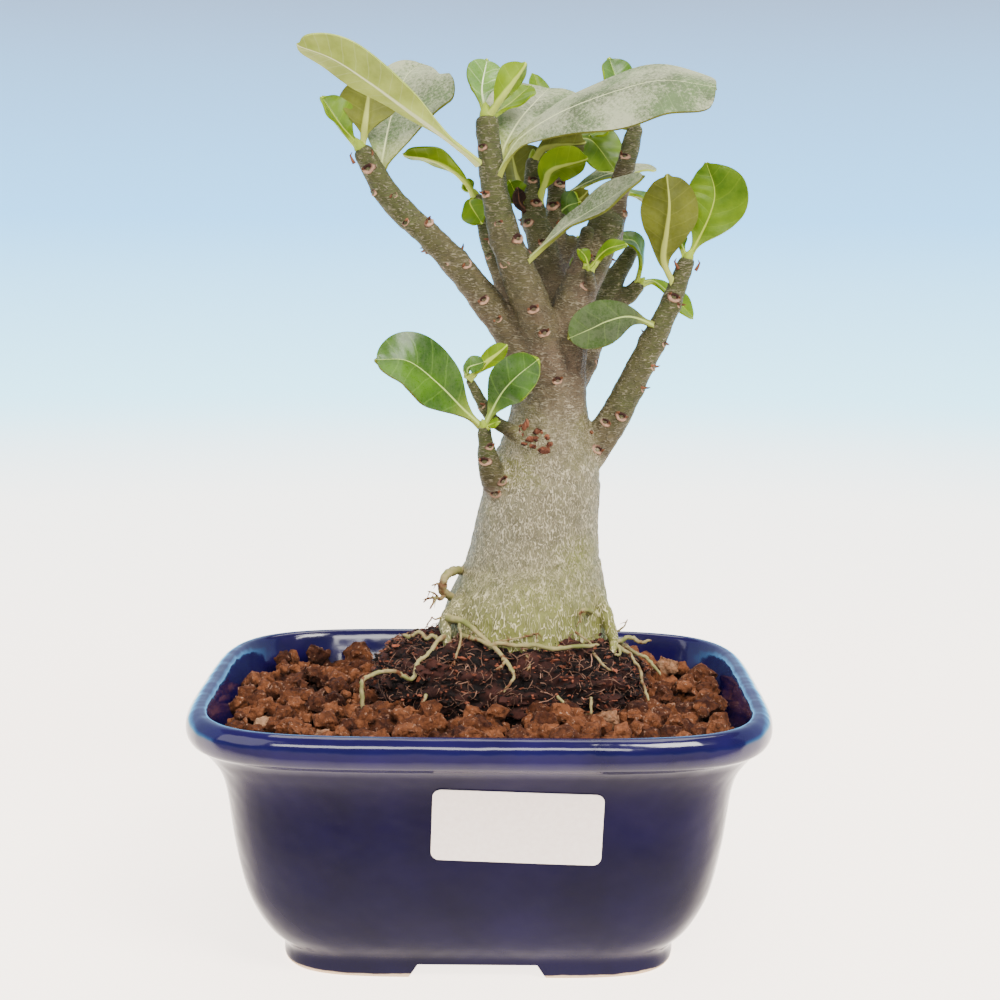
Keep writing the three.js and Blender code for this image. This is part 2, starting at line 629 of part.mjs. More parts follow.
// The soft green end of a shoot, which its young leaves grow from
function budCentre(path) {
  const end = v3(path.at(-1));
  const along = end.clone().sub(v3(path.at(-2))).normalize();
  return end.addScaledVector(along, path.at(-1)[3] * 1.15);
}

function bud(path) {
  const shape = new THREE.OctahedronGeometry(path.at(-1)[3] * 0.95, 0);
  const centre = budCentre(path);
  shape.translate(centre.x, centre.y, centre.z);
  return solidOf(shape);
}

// Leaves by the node that they belong to, with the shoot whose bud holds a cluster together
const FOLIAGE = {
  leaf_long_left: { colour: LEAF_PALE, leaves: [
    { rib: [[-1, -3, 203], [-11, -8, 210.5], [-18, -11, 215.5], [-28, -15, 222.5], [-37, -17, 228],
      [-45.5, -18, 231]], width: 14, face: [0.3, 0.62, 0.75], fold: 10 }] },
  leaf_broad_left: { colour: LEAF_DUSTY, leaves: [
    { rib: [[-27, -0.5, 198.5], [-26, 5, 207.5], [-24.5, 13, 216.5], [-21.5, 20, 226], [-17.5, 24, 230]],
      width: 26, face: [-0.25, -0.75, 0.6], fold: 14, belly: 1.35, skew: 0.35 }] },
  leaves_left_tip: { colour: LEAF_PALE, shoot: 'left', leaves: [
    { rib: [[-31, -3, 206], [-30.5, 0, 213.5], [-29.5, 3.5, 224]], width: 15, face: [0, 1, 0.1], fold: 8 },
    { rib: [[-32, -3, 206], [-36.5, -1, 212], [-41.5, 0, 219]], width: 9, face: [0.6, -0.6, 0.4], fold: 35 }] },
  leaves_front_tip: { colour: LEAF_FRESH, shoot: 'front', leaves: [
    { rib: [[0.5, -2, 214], [-0.6, -1, 221.5], [0.6, 2, 229]], width: 11.5, face: [0.3, -0.9, 0.2], fold: 18 },
    { rib: [[1, -3.5, 214], [5, -5, 220.5], [10, -5, 227.5]], width: 9, face: [-0.5, 0.8, 0.3], fold: 25 },
    { rib: [[2, -0.5, 214], [6.5, 4, 218.5], [11.5, 8, 223]], width: 11, face: [-0.3, -0.5, 0.8], fold: 10 }] },
  leaf_broad_back: { colour: LEAF_DUSTY, leaves: [
    { rib: [[4, 0.5, 203.5], [6, 4, 209], [9.5, 9, 215], [14, 18, 220.5], [17, 27, 224]],
      width: 31, face: [0, -0.6, 0.8], fold: 6, skew: -0.2 }] },
  leaf_long_right: { colour: LEAF_DUSTY, leaves: [
    { rib: [[3, -3.4, 199.5], [5.5, -6, 204], [9.5, -8, 209.5], [19.5, -12, 215.5], [33, -15, 220.5],
      [44.5, -17, 223], [57.5, -18, 220]],
      width: 24, face: [0, -0.56, 0.83], fold: -18, belly: 1.4, point: 0.3 }] },
  leaf_behind: { colour: LEAF_PALE, leaves: [
    { rib: [[13.4, 26, 194.5], [9.5, 31, 200], [7.5, 34, 208]], width: 19, face: [0.3, 0.9, 0.3], fold: 8 }] },
  leaves_middle_tip: { colour: LEAF_PALE, shoot: 'middle', leaves: [
    { rib: [[14, 24.5, 205], [17, 22, 208.5], [26.5, 20, 209.5]], width: 12, face: [0.2, 0.8, 0.6], fold: 12 }] },
  leaf_under: { colour: LEAF_PALE, leaves: [
    { rib: [[15, 22.6, 193.5], [16.5, 20.5, 199], [18.5, 19, 202.5], [27, 18, 205]],
      width: 10, face: [0.2, 0.8, 0.5], fold: 10 }] },
  leaves_middle_right_tip: { colour: LEAF_FRESH, shoot: 'middleRight', leaves: [
    { rib: [[20, 30, 203], [17.5, 39, 216], [13.5, 43, 229]],
      width: 8, face: [0.6, -0.7, 0.2], fold: 10 },
    { rib: [[20.5, 30, 202.5], [23.5, 31, 209.5], [29, 30, 210.5], [35.5, 28, 202.5]],
      width: 14, face: [0, -0.6, 0.8], fold: 8 }] },
  leaves_leader_tip: { colour: LEAF_FRESH, shoot: 'thickLeader', leaves: [
    { rib: [[40, 19, 214], [34, 21, 214], [28.5, 22, 211.5]], width: 8, face: [0, -0.5, 0.85], fold: 10 },
    { rib: [[40, 19, 214], [37, 22, 222], [33.5, 24, 231.5]], width: 11, face: [0.4, -0.7, 0.5], fold: 18 }] },
  leaf_far_right: { colour: LEAF_DUSTY, leaves: [
    { rib: [[20.5, 29, 194.5], [29, 32, 199.5], [37.5, 36, 202.5], [47.5, 40, 203.5]],
      width: 12, face: [0, -0.3, 0.95], fold: 8 }] },
  leaf_inner_round: { colour: LEAF_DEEP, leaves: [
    { rib: [[20, 26.6, 190], [22.4, 23.6, 192.4], [25.4, 22, 193.4]],
      width: 8, face: [0, -0.9, 0.4], fold: 8 }] },
  leaf_inner_olive: { colour: LEAF_PALE, leaves: [
    { rib: [[21, 28, 189], [24.5, 27.6, 193], [28, 26, 196.4]], width: 6, face: [0.3, 0.8, 0.5], fold: 8 }] },
  leaf_slanted: { colour: LEAF_DUSTY, leaves: [
    { rib: [[10, 1, 177], [20.5, -1, 186.5], [26.5, -3, 190.5], [32, -4, 194], [40.5, -6, 200]],
      width: 13, face: [-0.61, -0.37, 0.7], fold: 11 }] },
  leaves_rear_left_tip: { colour: LEAF_FRESH, shoot: 'rearLeft', leaves: [
    { rib: [[-2, 24, 195.5], [-6, 22, 200], [-10.5, 21, 203.5], [-16, 20, 205.5], [-21.5, 19, 206]],
      width: 8, face: [0.2, 0.5, 0.8], fold: 12 },
    { rib: [[-1.5, 23.4, 195], [-4, 20, 193], [-1, 16.4, 188]], width: 7.4, face: [-0.4, -0.8, 0.3], fold: 12 },
    { rib: [[-2.5, 24, 195], [-5.5, 23, 199]], width: 4, face: [0, -0.8, 0.6], fold: 10 }] },
  leaves_tiny_shoot: { colour: LEAF_FRESH, shoot: 'tinyShoot', leaves: [
    { rib: [[27.6, 3, 176], [31.9, 1, 181], [37, 0.5, 182.6]], width: 4.6, face: [0, -0.6, 0.8], fold: 14 },
    { rib: [[27.6, 3, 176], [26.8, 1.6, 179], [25.2, 1.4, 180.8]], width: 3.6, face: [0.3, -0.8, 0.5], fold: 14 }] },
  leaves_hooked_tip: { colour: LEAF_DEEP, shoot: 'hookedSide', leaves: [
    { rib: [[42.5, 30.8, 171.5], [43.6, 28, 177.5], [41.5, 26.4, 183], [36.5, 26, 183.8]],
      width: 8, face: [0.7, -0.4, 0.6], fold: 10 },
    { rib: [[43, 31.4, 171.5], [47.5, 35, 172], [53.5, 37, 167.6], [59, 38, 162]],
      width: 9, face: [0.2, -0.5, 0.85], fold: 8 }] },
  leaf_right_olive: { colour: LEAF_PALE, leaves: [
    { rib: [[50.6, 8.4, 172], [47.5, 7, 178], [48, 5, 185.5], [48.5, 4, 192.5], [47.8, 5, 200]],
      width: 15, face: [0.1, 1, 0], fold: 6 }] },
  leaves_right_tip: { colour: LEAF_FRESH, shoot: 'right', leaves: [
    { rib: [[54.5, 8, 178.5], [56.5, 7.4, 183.5], [59.5, 6.6, 190.5], [60.5, 6.6, 196.5], [58.2, 7, 203.6]],
      width: 18, face: [-0.25, -0.95, 0], fold: 6, belly: 1.5, point: 0.8 },
    { rib: [[53.5, 8.6, 178.5], [52.5, 10, 183], [51.5, 12, 187.5]], width: 5, face: [0.7, -0.6, 0.2], fold: 10 }] },
  leaf_middle_right: { colour: LEAF_DEEP, leaves: [
    { rib: [[47, 8.4, 160.5], [39, 4, 163.5], [33, 2, 162.5], [28.5, 1, 160.5], [22.8, 0.6, 158]],
      width: 12.4, face: [-0.1, -0.95, 0.3], fold: 8 }] },
  leaves_stub_tip: { colour: LEAF_DEEP, shoot: 'leftStub', leaves: [
    { rib: [[0, -1, 135], [-4.5, -3, 139], [-11.5, -7, 146.5], [-19, -11, 152.5], [-27, -13, 153]],
      width: 18, face: [0.1, -0.8, 0.6], fold: 8, belly: 1.35 },
    { rib: [[0.6, -1.4, 135], [4.5, -4, 143], [8.5, -6.4, 148], [14, -7.4, 152.6]],
      width: 12, face: [-0.1, -0.9, 0.4], fold: 8, belly: 1.5 },
    { rib: [[0.6, -2, 134.6], [4, -4, 136.4]], width: 3, face: [0, -0.7, 0.7], fold: 10 }] },
  leaves_thin_stub_tip: { colour: LEAF_FRESH, shoot: 'thinStub', leaves: [
    { rib: [[-3.4, 2, 147], [1.5, 0, 152], [6, -0.6, 156]], width: 5, face: [0.7, 0.2, 0.7], fold: 10 },
    { rib: [[-3.4, 2, 147], [-3.8, 0, 150], [0.2, -1.4, 151.6]], width: 5, face: [0.2, -0.8, 0.5], fold: 10 }] },
  leaf_inner_green: { colour: LEAF_FRESH, leaves: [
    { rib: [[12, 22, 192], [9, 20, 195], [7, 19, 198.5]], width: 7, face: [0.3, -0.9, 0.3], fold: 10 }] },
  leaf_dried: { colour: DRIED_BROWN, leaves: [
    { rib: [[11.6, 21.4, 191], [9.6, 17.4, 193], [9, 16.4, 196.6]], width: 4, face: [0.4, -0.8, 0.3], fold: 20 }] },
  leaf_peeking: { colour: LEAF_DUSTY, leaves: [
    { rib: [[36.4, 18, 196.5], [42, 24, 195.5], [49, 27, 190]], width: 9, face: [0.2, -0.4, 0.9], fold: 8 }] },
  leaf_rear_low: { colour: LEAF_FRESH, leaves: [
    { rib: [[19, 27, 176], [22.5, 33, 174], [26, 36, 177], [26, 39, 184]],
      width: 9, face: [-0.6, -0.7, 0.4], fold: 10 }] },
  leaf_rear_right: { colour: LEAF_DEEP, leaves: [
    { rib: [[32.4, 30, 160.5], [31, 36, 167], [29, 40, 175]], width: 8, face: [0.4, -0.8, 0.4], fold: 10 }] },
};

function buildFoliage({ leaves, shoot }, woodRoom) {
  if (!shoot) return withoutScraps(joined(leaves.map(leaf)).subtract(woodRoom), SMALLEST_LEAF);
  const root = budCentre(BRANCHES[shoot]).toArray();
  const solids = leaves.map((blade) => leaf({ ...blade, rib: [root, ...blade.rib.slice(1)] }));
  solids.push(bud(BRANCHES[shoot]));
  return withoutScraps(joined(solids).subtract(woodRoom), SMALLEST_LEAF);
}

// The whole part

function standardMaterial(colour, roughness) {
  return new THREE.MeshStandardMaterial({ color: colour, roughness, metalness: 0 });
}

const part = new THREE.Group();

function place(name, solid, colour, roughness) {
  const mesh = new THREE.Mesh(geometryOf(solid), standardMaterial(colour, roughness));
  mesh.name = name;
  part.add(mesh);
}

const wood = buildWood(0);
const woodRoom = buildWood(BARK_GAP);
const rootBall = withoutScraps(buildRootBall(0).subtract(woodRoom), SMALLEST_SOIL);
const screenRooms = [-1, 1].map(screenRoom);

place('pot', buildPot(), GLAZE_BLUE, 0.12);
place('drain_mesh_left', buildScreen(-1), MESH_BLACK, 0.6);
place('drain_mesh_right', buildScreen(1), MESH_BLACK, 0.6);
place('label', buildLabel(), LABEL_WHITE, 0.5);
place('soil_granules', buildGranules(woodRoom, buildRootBall(FIT_GAP), screenRooms), GRANULE_BROWN, 0.95);
place('root_ball', rootBall, PEAT_BROWN, 0.95);
place('trunk', wood, BARK_GREY, 0.8);
for (const [name, spec] of Object.entries(FOLIAGE)) {
  place(name, buildFoliage(spec, woodRoom), spec.colour, 0.45);
}

export default part;
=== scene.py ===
import math
import random

import bmesh
import bpy
import numpy as np
from bpy.props import FloatProperty, FloatVectorProperty, IntProperty, PointerProperty
from mathutils import Matrix, Vector, kdtree, noise


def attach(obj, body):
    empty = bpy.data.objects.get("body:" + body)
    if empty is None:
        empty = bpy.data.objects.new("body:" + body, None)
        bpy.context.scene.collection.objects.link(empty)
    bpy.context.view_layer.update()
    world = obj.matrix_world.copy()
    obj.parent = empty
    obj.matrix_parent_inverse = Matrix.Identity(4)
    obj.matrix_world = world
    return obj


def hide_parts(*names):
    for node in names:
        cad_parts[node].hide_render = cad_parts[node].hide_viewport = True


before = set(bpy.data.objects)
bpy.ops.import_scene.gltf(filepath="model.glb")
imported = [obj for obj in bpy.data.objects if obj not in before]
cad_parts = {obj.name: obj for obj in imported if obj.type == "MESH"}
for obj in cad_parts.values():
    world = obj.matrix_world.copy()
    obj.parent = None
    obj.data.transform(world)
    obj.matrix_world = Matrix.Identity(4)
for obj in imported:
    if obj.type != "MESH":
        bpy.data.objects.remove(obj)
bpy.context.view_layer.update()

bl_info = {
    "name": "Potted Desert Rose",
    "version": (1, 0, 0),
    "blender": (4, 5, 0),
    "location": "View3D > Sidebar > Desert Rose",
    "description": "Dresses the packed solids of a potted desert rose with leaves, bark, soil and glaze",
    "category": "Object",
}

# All shapes below are given in millimetres and turned to metres as they are placed
MM = 0.001


def every(size):
    """The scale of a pattern whose marks are about this many millimetres apart."""
    return 1 / (size * MM)


def srgb(text):
    """A hex colour as the eye names it, as linear red, green, blue and alpha."""
    parts = [int(text[i:i + 2], 16) / 255 for i in (1, 3, 5)]
    linear = [p / 12.92 if p <= 0.04045 else ((p + 0.055) / 1.055) ** 2.4 for p in parts]
    return (*linear, 1.0)


# Settings that a user would change

class PotSettings(bpy.types.PropertyGroup):
    """Form and glaze of the pot and its sticker."""

    foot_half_length: FloatProperty(
        name="Foot half length", description="Half the length of the foot under the pot",
        default=51 * MM, unit="LENGTH")
    foot_half_width: FloatProperty(
        name="Foot half width", description="Half the width of the foot under the pot",
        default=43.8 * MM, unit="LENGTH")
    glaze: FloatVectorProperty(
        name="Glaze", description="Cobalt glaze where it lies thick on the body",
        default=srgb("#0b0724"), size=4, subtype="COLOR", min=0, max=1)
    thin_glaze: FloatVectorProperty(
        name="Thin glaze",
        description="Glaze below the lip, where it ran down and the brown clay shows through",
        default=srgb("#130c2b"), size=4, subtype="COLOR", min=0, max=1)
    lip_glaze: FloatVectorProperty(
        name="Lip glaze", description="Glaze along the rolled lip, where it runs thin and brighter",
        default=srgb("#140b3c"), size=4, subtype="COLOR", min=0, max=1)
    clay: FloatVectorProperty(
        name="Bare clay", description="Unglazed stoneware at the foot's edge",
        default=srgb("#b8a183"), size=4, subtype="COLOR", min=0, max=1)


class SoilSettings(bpy.types.PropertyGroup):
    """Grain sizes and colours of the soil."""

    granule_pitch: FloatProperty(
        name="Granule pitch", description="Distance between neighbouring granules",
        default=6.8 * MM, unit="LENGTH")
    fibres: IntProperty(
        name="Peat fibres", description="Number of loose fibres on the root ball", default=2600, min=0)
    seed: IntProperty(
        name="Seed", description="Start of the random draws, which repeat every run", default=7, min=0)


class WoodSettings(bpy.types.PropertyGroup):
    """Fineness and colours of the trunk."""

    voxel: FloatProperty(
        name="Surface step", description="Size of the faces of the bark's surface",
        default=0.62 * MM, unit="LENGTH")
    bark: FloatVectorProperty(
        name="Bark", description="Old bark of the trunk and lower branches",
        default=srgb("#716a4f"), size=4, subtype="COLOR", min=0, max=1)
    green_bark: FloatVectorProperty(
        name="Green bark", description="Green skin of the swollen base",
        default=srgb("#73733b"), size=4, subtype="COLOR", min=0, max=1)
    branch_bark: FloatVectorProperty(
        name="Branch bark", description="Brownish grey skin of the branches",
        default=srgb("#594937"), size=4, subtype="COLOR", min=0, max=1)
    green_shoot: FloatVectorProperty(
        name="Green shoots", description="Skin of the branches' youngest ends",
        default=srgb("#434522"), size=4, subtype="COLOR", min=0, max=1)


class LeafSettings(bpy.types.PropertyGroup):
    """Fineness of the leaves."""

    rows: IntProperty(
        name="Rows", description="Faces along a large leaf", default=44, min=8)
    columns: IntProperty(
        name="Columns", description="Faces across a large leaf", default=22, min=4)


class StageSettings(bpy.types.PropertyGroup):
    """Camera and floor."""

    distance: FloatProperty(
        name="Camera distance", description="From the camera to the point that it looks at",
        default=482 * MM, unit="LENGTH")
    pitch: FloatProperty(
        name="Camera pitch", description="How far the camera looks down",
        default=0.149, subtype="ANGLE")
    roll: FloatProperty(
        name="Camera roll", description="How far the camera leans over", default=0.0077, subtype="ANGLE")


# Small tools for shaping pieces

def choose(*objects):
    """Selects these objects alone, the first one active."""
    if bpy.context.mode != "OBJECT":
        bpy.ops.object.mode_set(mode="OBJECT")
    bpy.ops.object.select_all(action="DESELECT")
    for item in objects:
        item.select_set(True)
    bpy.context.view_layer.objects.active = objects[0]


def edit_all(piece):
    """Opens a piece for editing with all of it selected."""
    choose(piece)
    bpy.ops.object.mode_set(mode="EDIT")
    bpy.ops.mesh.select_all(action="SELECT")


def end_edit(outward=True):
    """Turns all faces outward, unless told not to, and ends the editing."""
    if outward:
        bpy.ops.mesh.select_all(action="SELECT")
        bpy.ops.mesh.normals_make_consistent(inside=False)
    bpy.ops.object.mode_set(mode="OBJECT")


def smooth(piece, degrees=None):
    """Shades a piece smoothly, apart from edges sharper than this angle if one is given."""
    choose(piece)
    if degrees is None:
        bpy.ops.object.shade_smooth()
    else:
        bpy.ops.object.shade_smooth_by_angle(angle=math.radians(degrees))


def flat_grid(across, along):
    """A square grid two units wide, to be bent into shape."""
    bpy.ops.mesh.primitive_grid_add(x_subdivisions=across, y_subdivisions=along, size=2, location=(0, 0, 0))
    return bpy.context.object


def tree_of(points):
    """A search tree that finds the nearest of these points."""
    tree = kdtree.KDTree(len(points))
    for i, point in enumerate(points):
        tree.insert(point, i)
    tree.balance()
    return tree


def fused(pieces, step):
    """The pieces as one skin with faces of this size."""
    whole = join_pieces(pieces)
    whole.data.remesh_voxel_size = step
    bpy.ops.object.voxel_remesh()
    return whole


def apply_modifier(piece, kind, **settings):
    """Adds a modifier to a piece, sets it up and applies it."""
    choose(piece)
    bpy.ops.object.modifier_add(type=kind)
    modifier = piece.modifiers[-1]
    for name, value in settings.items():
        setattr(modifier, name, value)
    bpy.ops.object.modifier_apply(modifier=modifier.name)


def join_pieces(pieces):
    """Joins pieces into the first one and gives it back."""
    choose(*pieces)
    if len(pieces) > 1:
        bpy.ops.object.join()
    return bpy.context.view_layer.objects.active


def cut_away(piece, cutter):
    """Takes the cutter's shape out of a piece, and removes the cutter."""
    apply_modifier(piece, "BOOLEAN", object=cutter, operation="DIFFERENCE", solver="EXACT")
    bpy.data.objects.remove(cutter)


def points_of(piece):
    """The piece's vertices as rows of millimetres."""
    flat = np.empty(len(piece.data.vertices) * 3, np.float32)
    piece.data.vertices.foreach_get("co", flat)
    return flat.reshape(-1, 3).astype(float) / MM


def normals_of(piece):
    """The direction that the surface faces at each vertex."""
    flat = np.empty(len(piece.data.vertices) * 3, np.float32)
    piece.data.vertices.foreach_get("normal", flat)
    return flat.reshape(-1, 3).astype(float)


def move_points(piece, rows):
    """Puts the piece's vertices at these places, given in millimetres."""
    piece.data.vertices.foreach_set("co", (np.asarray(rows) * MM).astype(np.float32).ravel())
    piece.data.update()


def mark(piece, name, values):
    """Keeps a number or three for each vertex, which a material reads by this name."""
    values = np.asarray(values, np.float32)
    kind, field = ("FLOAT", "value") if values.ndim == 1 else ("FLOAT_VECTOR", "vector")
    piece.data.attributes.new(name, kind, "POINT").data.foreach_set(field, values.ravel())


def finish_piece(piece, name, slot, materials, *nodes):
    """Names a piece, gives it its materials and lets it stand for its solids in the frame."""
    piece.name = name
    piece.data.name = name
    piece.data.materials.clear()
    for material in materials:
        piece.data.materials.append(material)
    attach(piece, "root")
    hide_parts(*nodes)
    return piece


def smooth_path(points, steps):
    """A smooth curve through the points; every column of numbers is carried along."""
    rows = np.array(points, float)
    rows = np.vstack([2 * rows[0] - rows[1], rows, 2 * rows[-1] - rows[-2]])
    made = []
    for i in range(1, len(rows) - 2):
        p0, p1, p2, p3 = rows[i - 1:i + 3]
        for t in np.arange(steps) / steps:
            bend = (2 * p0 - 5 * p1 + 4 * p2 - p3) * t * t + (3 * p1 - p0 - 3 * p2 + p3) * t ** 3
            made.append(0.5 * (2 * p1 + (p2 - p0) * t + bend))
    made.append(rows[-2])
    return np.array(made)


def along_path(path, shares):
    """Points at these shares of a path's length, and that length."""
    steps = np.linalg.norm(np.diff(path[:, :3], axis=0), axis=1)
    lengths = np.concatenate([[0], np.cumsum(steps)])
    at = np.asarray(shares) * lengths[-1]
    return np.stack([np.interp(at, lengths, column) for column in path.T], 1), lengths[-1]


def strands(name, paths, roundness):
    """Round strands along paths of x, y, z and radius, as one mesh with closed ends."""
    curve = bpy.data.curves.new(name, "CURVE")
    curve.dimensions = "3D"
    curve.bevel_depth = MM
    curve.bevel_resolution = roundness
    curve.use_fill_caps = True
    for path in paths:
        spline = curve.splines.new("POLY")
        spline.points.add(len(path) - 1)
        for point, (x, y, z, radius) in zip(spline.points, path):
            point.co = (x * MM, y * MM, z * MM, 1)
            point.radius = radius
    piece = bpy.data.objects.new(name, curve)
    bpy.context.scene.collection.objects.link(piece)
    choose(piece)
    bpy.ops.object.convert(target="MESH")
    return bpy.context.view_layer.objects.active


def roughness_at(point, size, octaves, offset=0.0):
    """Fractal noise at a place in millimetres, about -1 to 1, with lumps of this size."""
    return noise.fractal(Vector(point) / size + Vector((offset, offset, offset)), 1.0, 2.0, octaves)


def roughness_on(rows, size, octaves, offset=0.0):
    """The same noise at each of these places."""
    return np.array([roughness_at(row, size, octaves, offset) for row in rows])


# Materials

def new_material(name):
    """An empty material with a principled surface, and that surface's node."""
    material = bpy.data.materials.new(name)
    material.use_nodes = True
    material.node_tree.nodes.clear()
    surface = add(material, "BsdfPrincipled")
    add(material, "OutputMaterial", {"Surface": surface})
    return material, surface.node


def feed(material, node, inputs):
    """Sets inputs of a node: an output is linked in, anything else is the input's own value."""
    for name, value in inputs.items():
        if isinstance(value, bpy.types.NodeSocket):
            material.node_tree.links.new(value, node.inputs[name])
        else:
            node.inputs[name].default_value = value


def add(material, kind, inputs=None, out=None, stops=(), **settings):
    """Adds a node with settings, inputs and colour stops, and gives back one output, or the first in use."""
    node = material.node_tree.nodes.new("ShaderNode" + kind)
    for name, value in settings.items():
        setattr(node, name, value)
    feed(material, node, inputs or {})
    for i, (place, colour) in enumerate(stops):
        stop = node.color_ramp.elements[i] if i < 2 else node.color_ramp.elements.new(place)
        stop.position = place
        stop.color = srgb(colour)
    return node.outputs[out] if out else next((end for end in node.outputs if end.enabled), None)


def glazed_stoneware(settings):
    """Stoneware dipped in cobalt glaze and fired: glassy, slightly wavy, bare and sandy at the sole."""
    material, surface = new_material("cobalt_glazed_stoneware")
    place = add(material, "TexCoord", out="Object")
    height = add(material, "SeparateXYZ", {"Vector": place}, out="Z")
    cloud = add(material, "TexNoise", {"Vector": place, "Scale": every(18), "Detail": 4.0})
    lip = add(material, "MapRange", {"Value": height, "From Min": 0.056, "From Max": 0.061})
    thin = add(
        material, "MapRange", {"Value": height, "From Min": 0.026, "From Max": 0.055, "To Max": 0.85})
    body = add(material, "Mix", {0: thin, 6: settings.glaze, 7: settings.thin_glaze}, data_type="RGBA")
    glaze = add(material, "Mix", {0: lip, 6: body, 7: settings.lip_glaze}, data_type="RGBA")
    depth = add(
        material, "MapRange",
        {"Value": cloud, "From Min": 0.3, "From Max": 0.75, "To Min": 0.7, "To Max": 1.4})
    shaded = add(material, "HueSaturation", {"Color": glaze, "Value": depth})
    # The glaze stops a little short of the sole in an uneven line
    uneven = add(material, "TexNoise", {"Vector": place, "Scale": every(6)})
    edge = add(material, "Math", {0: uneven, 1: 0.0009}, operation="MULTIPLY")
    line = add(material, "Math", {0: height, 1: edge}, operation="SUBTRACT")
    bare = add(material, "MapRange", {"Value": line, "From Min": 0.0006, "From Max": 0.0003})
    colour = add(material, "Mix", {0: bare, 6: shaded, 7: settings.clay}, data_type="RGBA")
    gloss = add(material, "MapRange", {"Value": bare, "To Min": 0.12, "To Max": 0.8})
    wave = add(material, "TexNoise", {"Vector": place, "Scale": every(13), "Detail": 2.0})
    bump = add(material, "Bump", {"Height": wave, "Strength": 0.6, "Distance": 0.0009})
    shine = add(material, "MapRange", {"Value": lip, "To Min": 0.11, "To Max": 0.5})
    feed(material, surface, {"Base Color": colour, "Roughness": gloss, "Normal": bump, "IOR": 1.5,
                             "Specular IOR Level": shine})
    return material


def label_paper():
    """Coated label paper: white, smooth and slightly glossy, with nothing printed on it."""
    material, surface = new_material("coated_label_paper")
    place = add(material, "TexCoord", out="Object")
    pulp = add(material, "TexNoise", {"Vector": place, "Scale": every(1.1), "Detail": 3.0})
    colour = add(material, "ValToRGB", {"Fac": pulp}, stops=[(0.3, "#f2e2d8"), (0.7, "#faece3")])
    bump = add(material, "Bump", {"Height": pulp, "Strength": 0.06, "Distance": 0.0001})
    feed(material, surface, {"Roughness": 0.38, "Base Color": colour, "Normal": bump})
    return material


def baked_clay():
    """Broken baked clay: dry and crumbly, rusty brown, with pale dust and a painted highlight along its
    ridges, and painted shade in its pits and low places.
    """
    material, surface = new_material("baked_clay_granules")
    place = add(material, "TexCoord", out="Object")
    tone = add(material, "Attribute", out="Fac", attribute_name="tone")
    cloud = add(
        material, "TexNoise", {"Vector": place, "Scale": every(2.2), "Detail": 5.0, "Roughness": 0.7})
    mixed = add(material, "Math", {0: cloud, 1: 0.7, 2: tone}, operation="MULTIPLY_ADD")
    body = add(
        material, "ValToRGB", {"Fac": mixed},
        stops=[(0.26, "#331a12"), (1.0, "#a17c5d"), (0.46, "#5b331d"), (0.7, "#814e31")])
    # Each granule is caked from crumbs of about a millimetre, with painted shade darkening the pits between
    # them
    crumb = add(material, "TexVoronoi", {"Vector": place, "Scale": every(1.4)}, feature="F1")
    pit_shade = add(material, "MapRange", {"Value": crumb, "From Min": 0.5, "From Max": 0.85, "To Max": 0.5})
    pit_shaded = add(material, "Mix", {0: pit_shade, 6: body, 7: srgb("#1f0d06")}, data_type="RGBA")
    # Pale dust and a painted highlight lie where the surface stands out
    high = add(material, "Attribute", out="Fac", attribute_name="high")
    speck = add(
        material, "TexNoise", {"Vector": place, "Scale": every(0.36), "Detail": 3.0, "Roughness": 0.6})
    dust_and_highlight = add(material, "Math", {0: high, 1: 0.5, 2: speck}, operation="MULTIPLY_ADD")
    dust = add(material, "MapRange", {"Value": dust_and_highlight, "From Min": 0.72, "From Max": 1.0, "To Max": 0.6})
    colour = add(material, "Mix", {0: dust, 6: pit_shaded, 7: srgb("#cda083")}, data_type="RGBA")
    # Painted shade: each granule is darkened below its middle, where it sinks between its neighbours
    shade = add(material, "Attribute", out="Fac", attribute_name="depth")
    dark = add(material, "Mix", {0: shade, 6: colour, 7: srgb("#140905")}, data_type="RGBA")
    relief = add(material, "Math", {0: crumb, 1: -1.3, 2: speck}, operation="MULTIPLY_ADD")
    bump = add(material, "Bump", {"Height": relief, "Strength": 1.0, "Distance": 0.0006})
    feed(material, surface, {"Base Color": dark, "Roughness": 0.95, "Specular IOR Level": 0.15,
                             "Normal": bump})
    return material


def peat_fibre(name, dark, pale):
    """Dark peat and coir: matt, fibrous and broken into crumbs."""
    material, surface = new_material(name)
    place = add(material, "TexCoord", out="Object")
    tone = add(material, "Attribute", out="Fac", attribute_name="tone")
    crumb = add(
        material, "TexNoise", {"Vector": place, "Scale": every(1.4), "Detail": 6.0, "Roughness": 0.75})
    mixed = add(material, "Math", {0: crumb, 1: 0.8, 2: tone}, operation="MULTIPLY_ADD")
    colour = add(material, "ValToRGB", {"Fac": mixed}, stops=[(0.3, dark), (1.0, pale)])
    bump = add(material, "Bump", {"Height": crumb, "Strength": 0.9, "Distance": 0.0005})
    feed(material, surface, {"Base Color": colour, "Roughness": 0.9, "Specular IOR Level": 0.25,
                             "Normal": bump})
    return material


# Ridges of the bark: how far apart they run across and up in millimetres, then a ridge's share of that
BARK_RIDGES = {
    "base": (1.15, 3.8, 0.15),
    "trunk": (0.74, 2.0, 0.24),
    "branch": (3.0, 0.7, 0.2),
}


def bark_ridges(material, place, name):
    """Pale stretch ridges that wander and fork like level lines on a map: 1 on a ridge, 0 between."""
    across, upward, share = BARK_RIDGES[name]
    sized = add(
        material, "Mapping", {"Vector": place, "Scale": (every(across), every(across), every(upward))})
    swell = add(material, "TexNoise", {"Vector": sized, "Scale": 1.0, "Detail": 1.5, "Roughness": 0.5})
    levels = add(material, "Math", {0: swell, 1: 4.0}, operation="MULTIPLY")
    wave = add(material, "Math", {0: levels, 1: 0.5}, operation="PINGPONG")
    return add(material, "MapRange", {"Value": wave, "From Min": share, "From Max": 0.06})


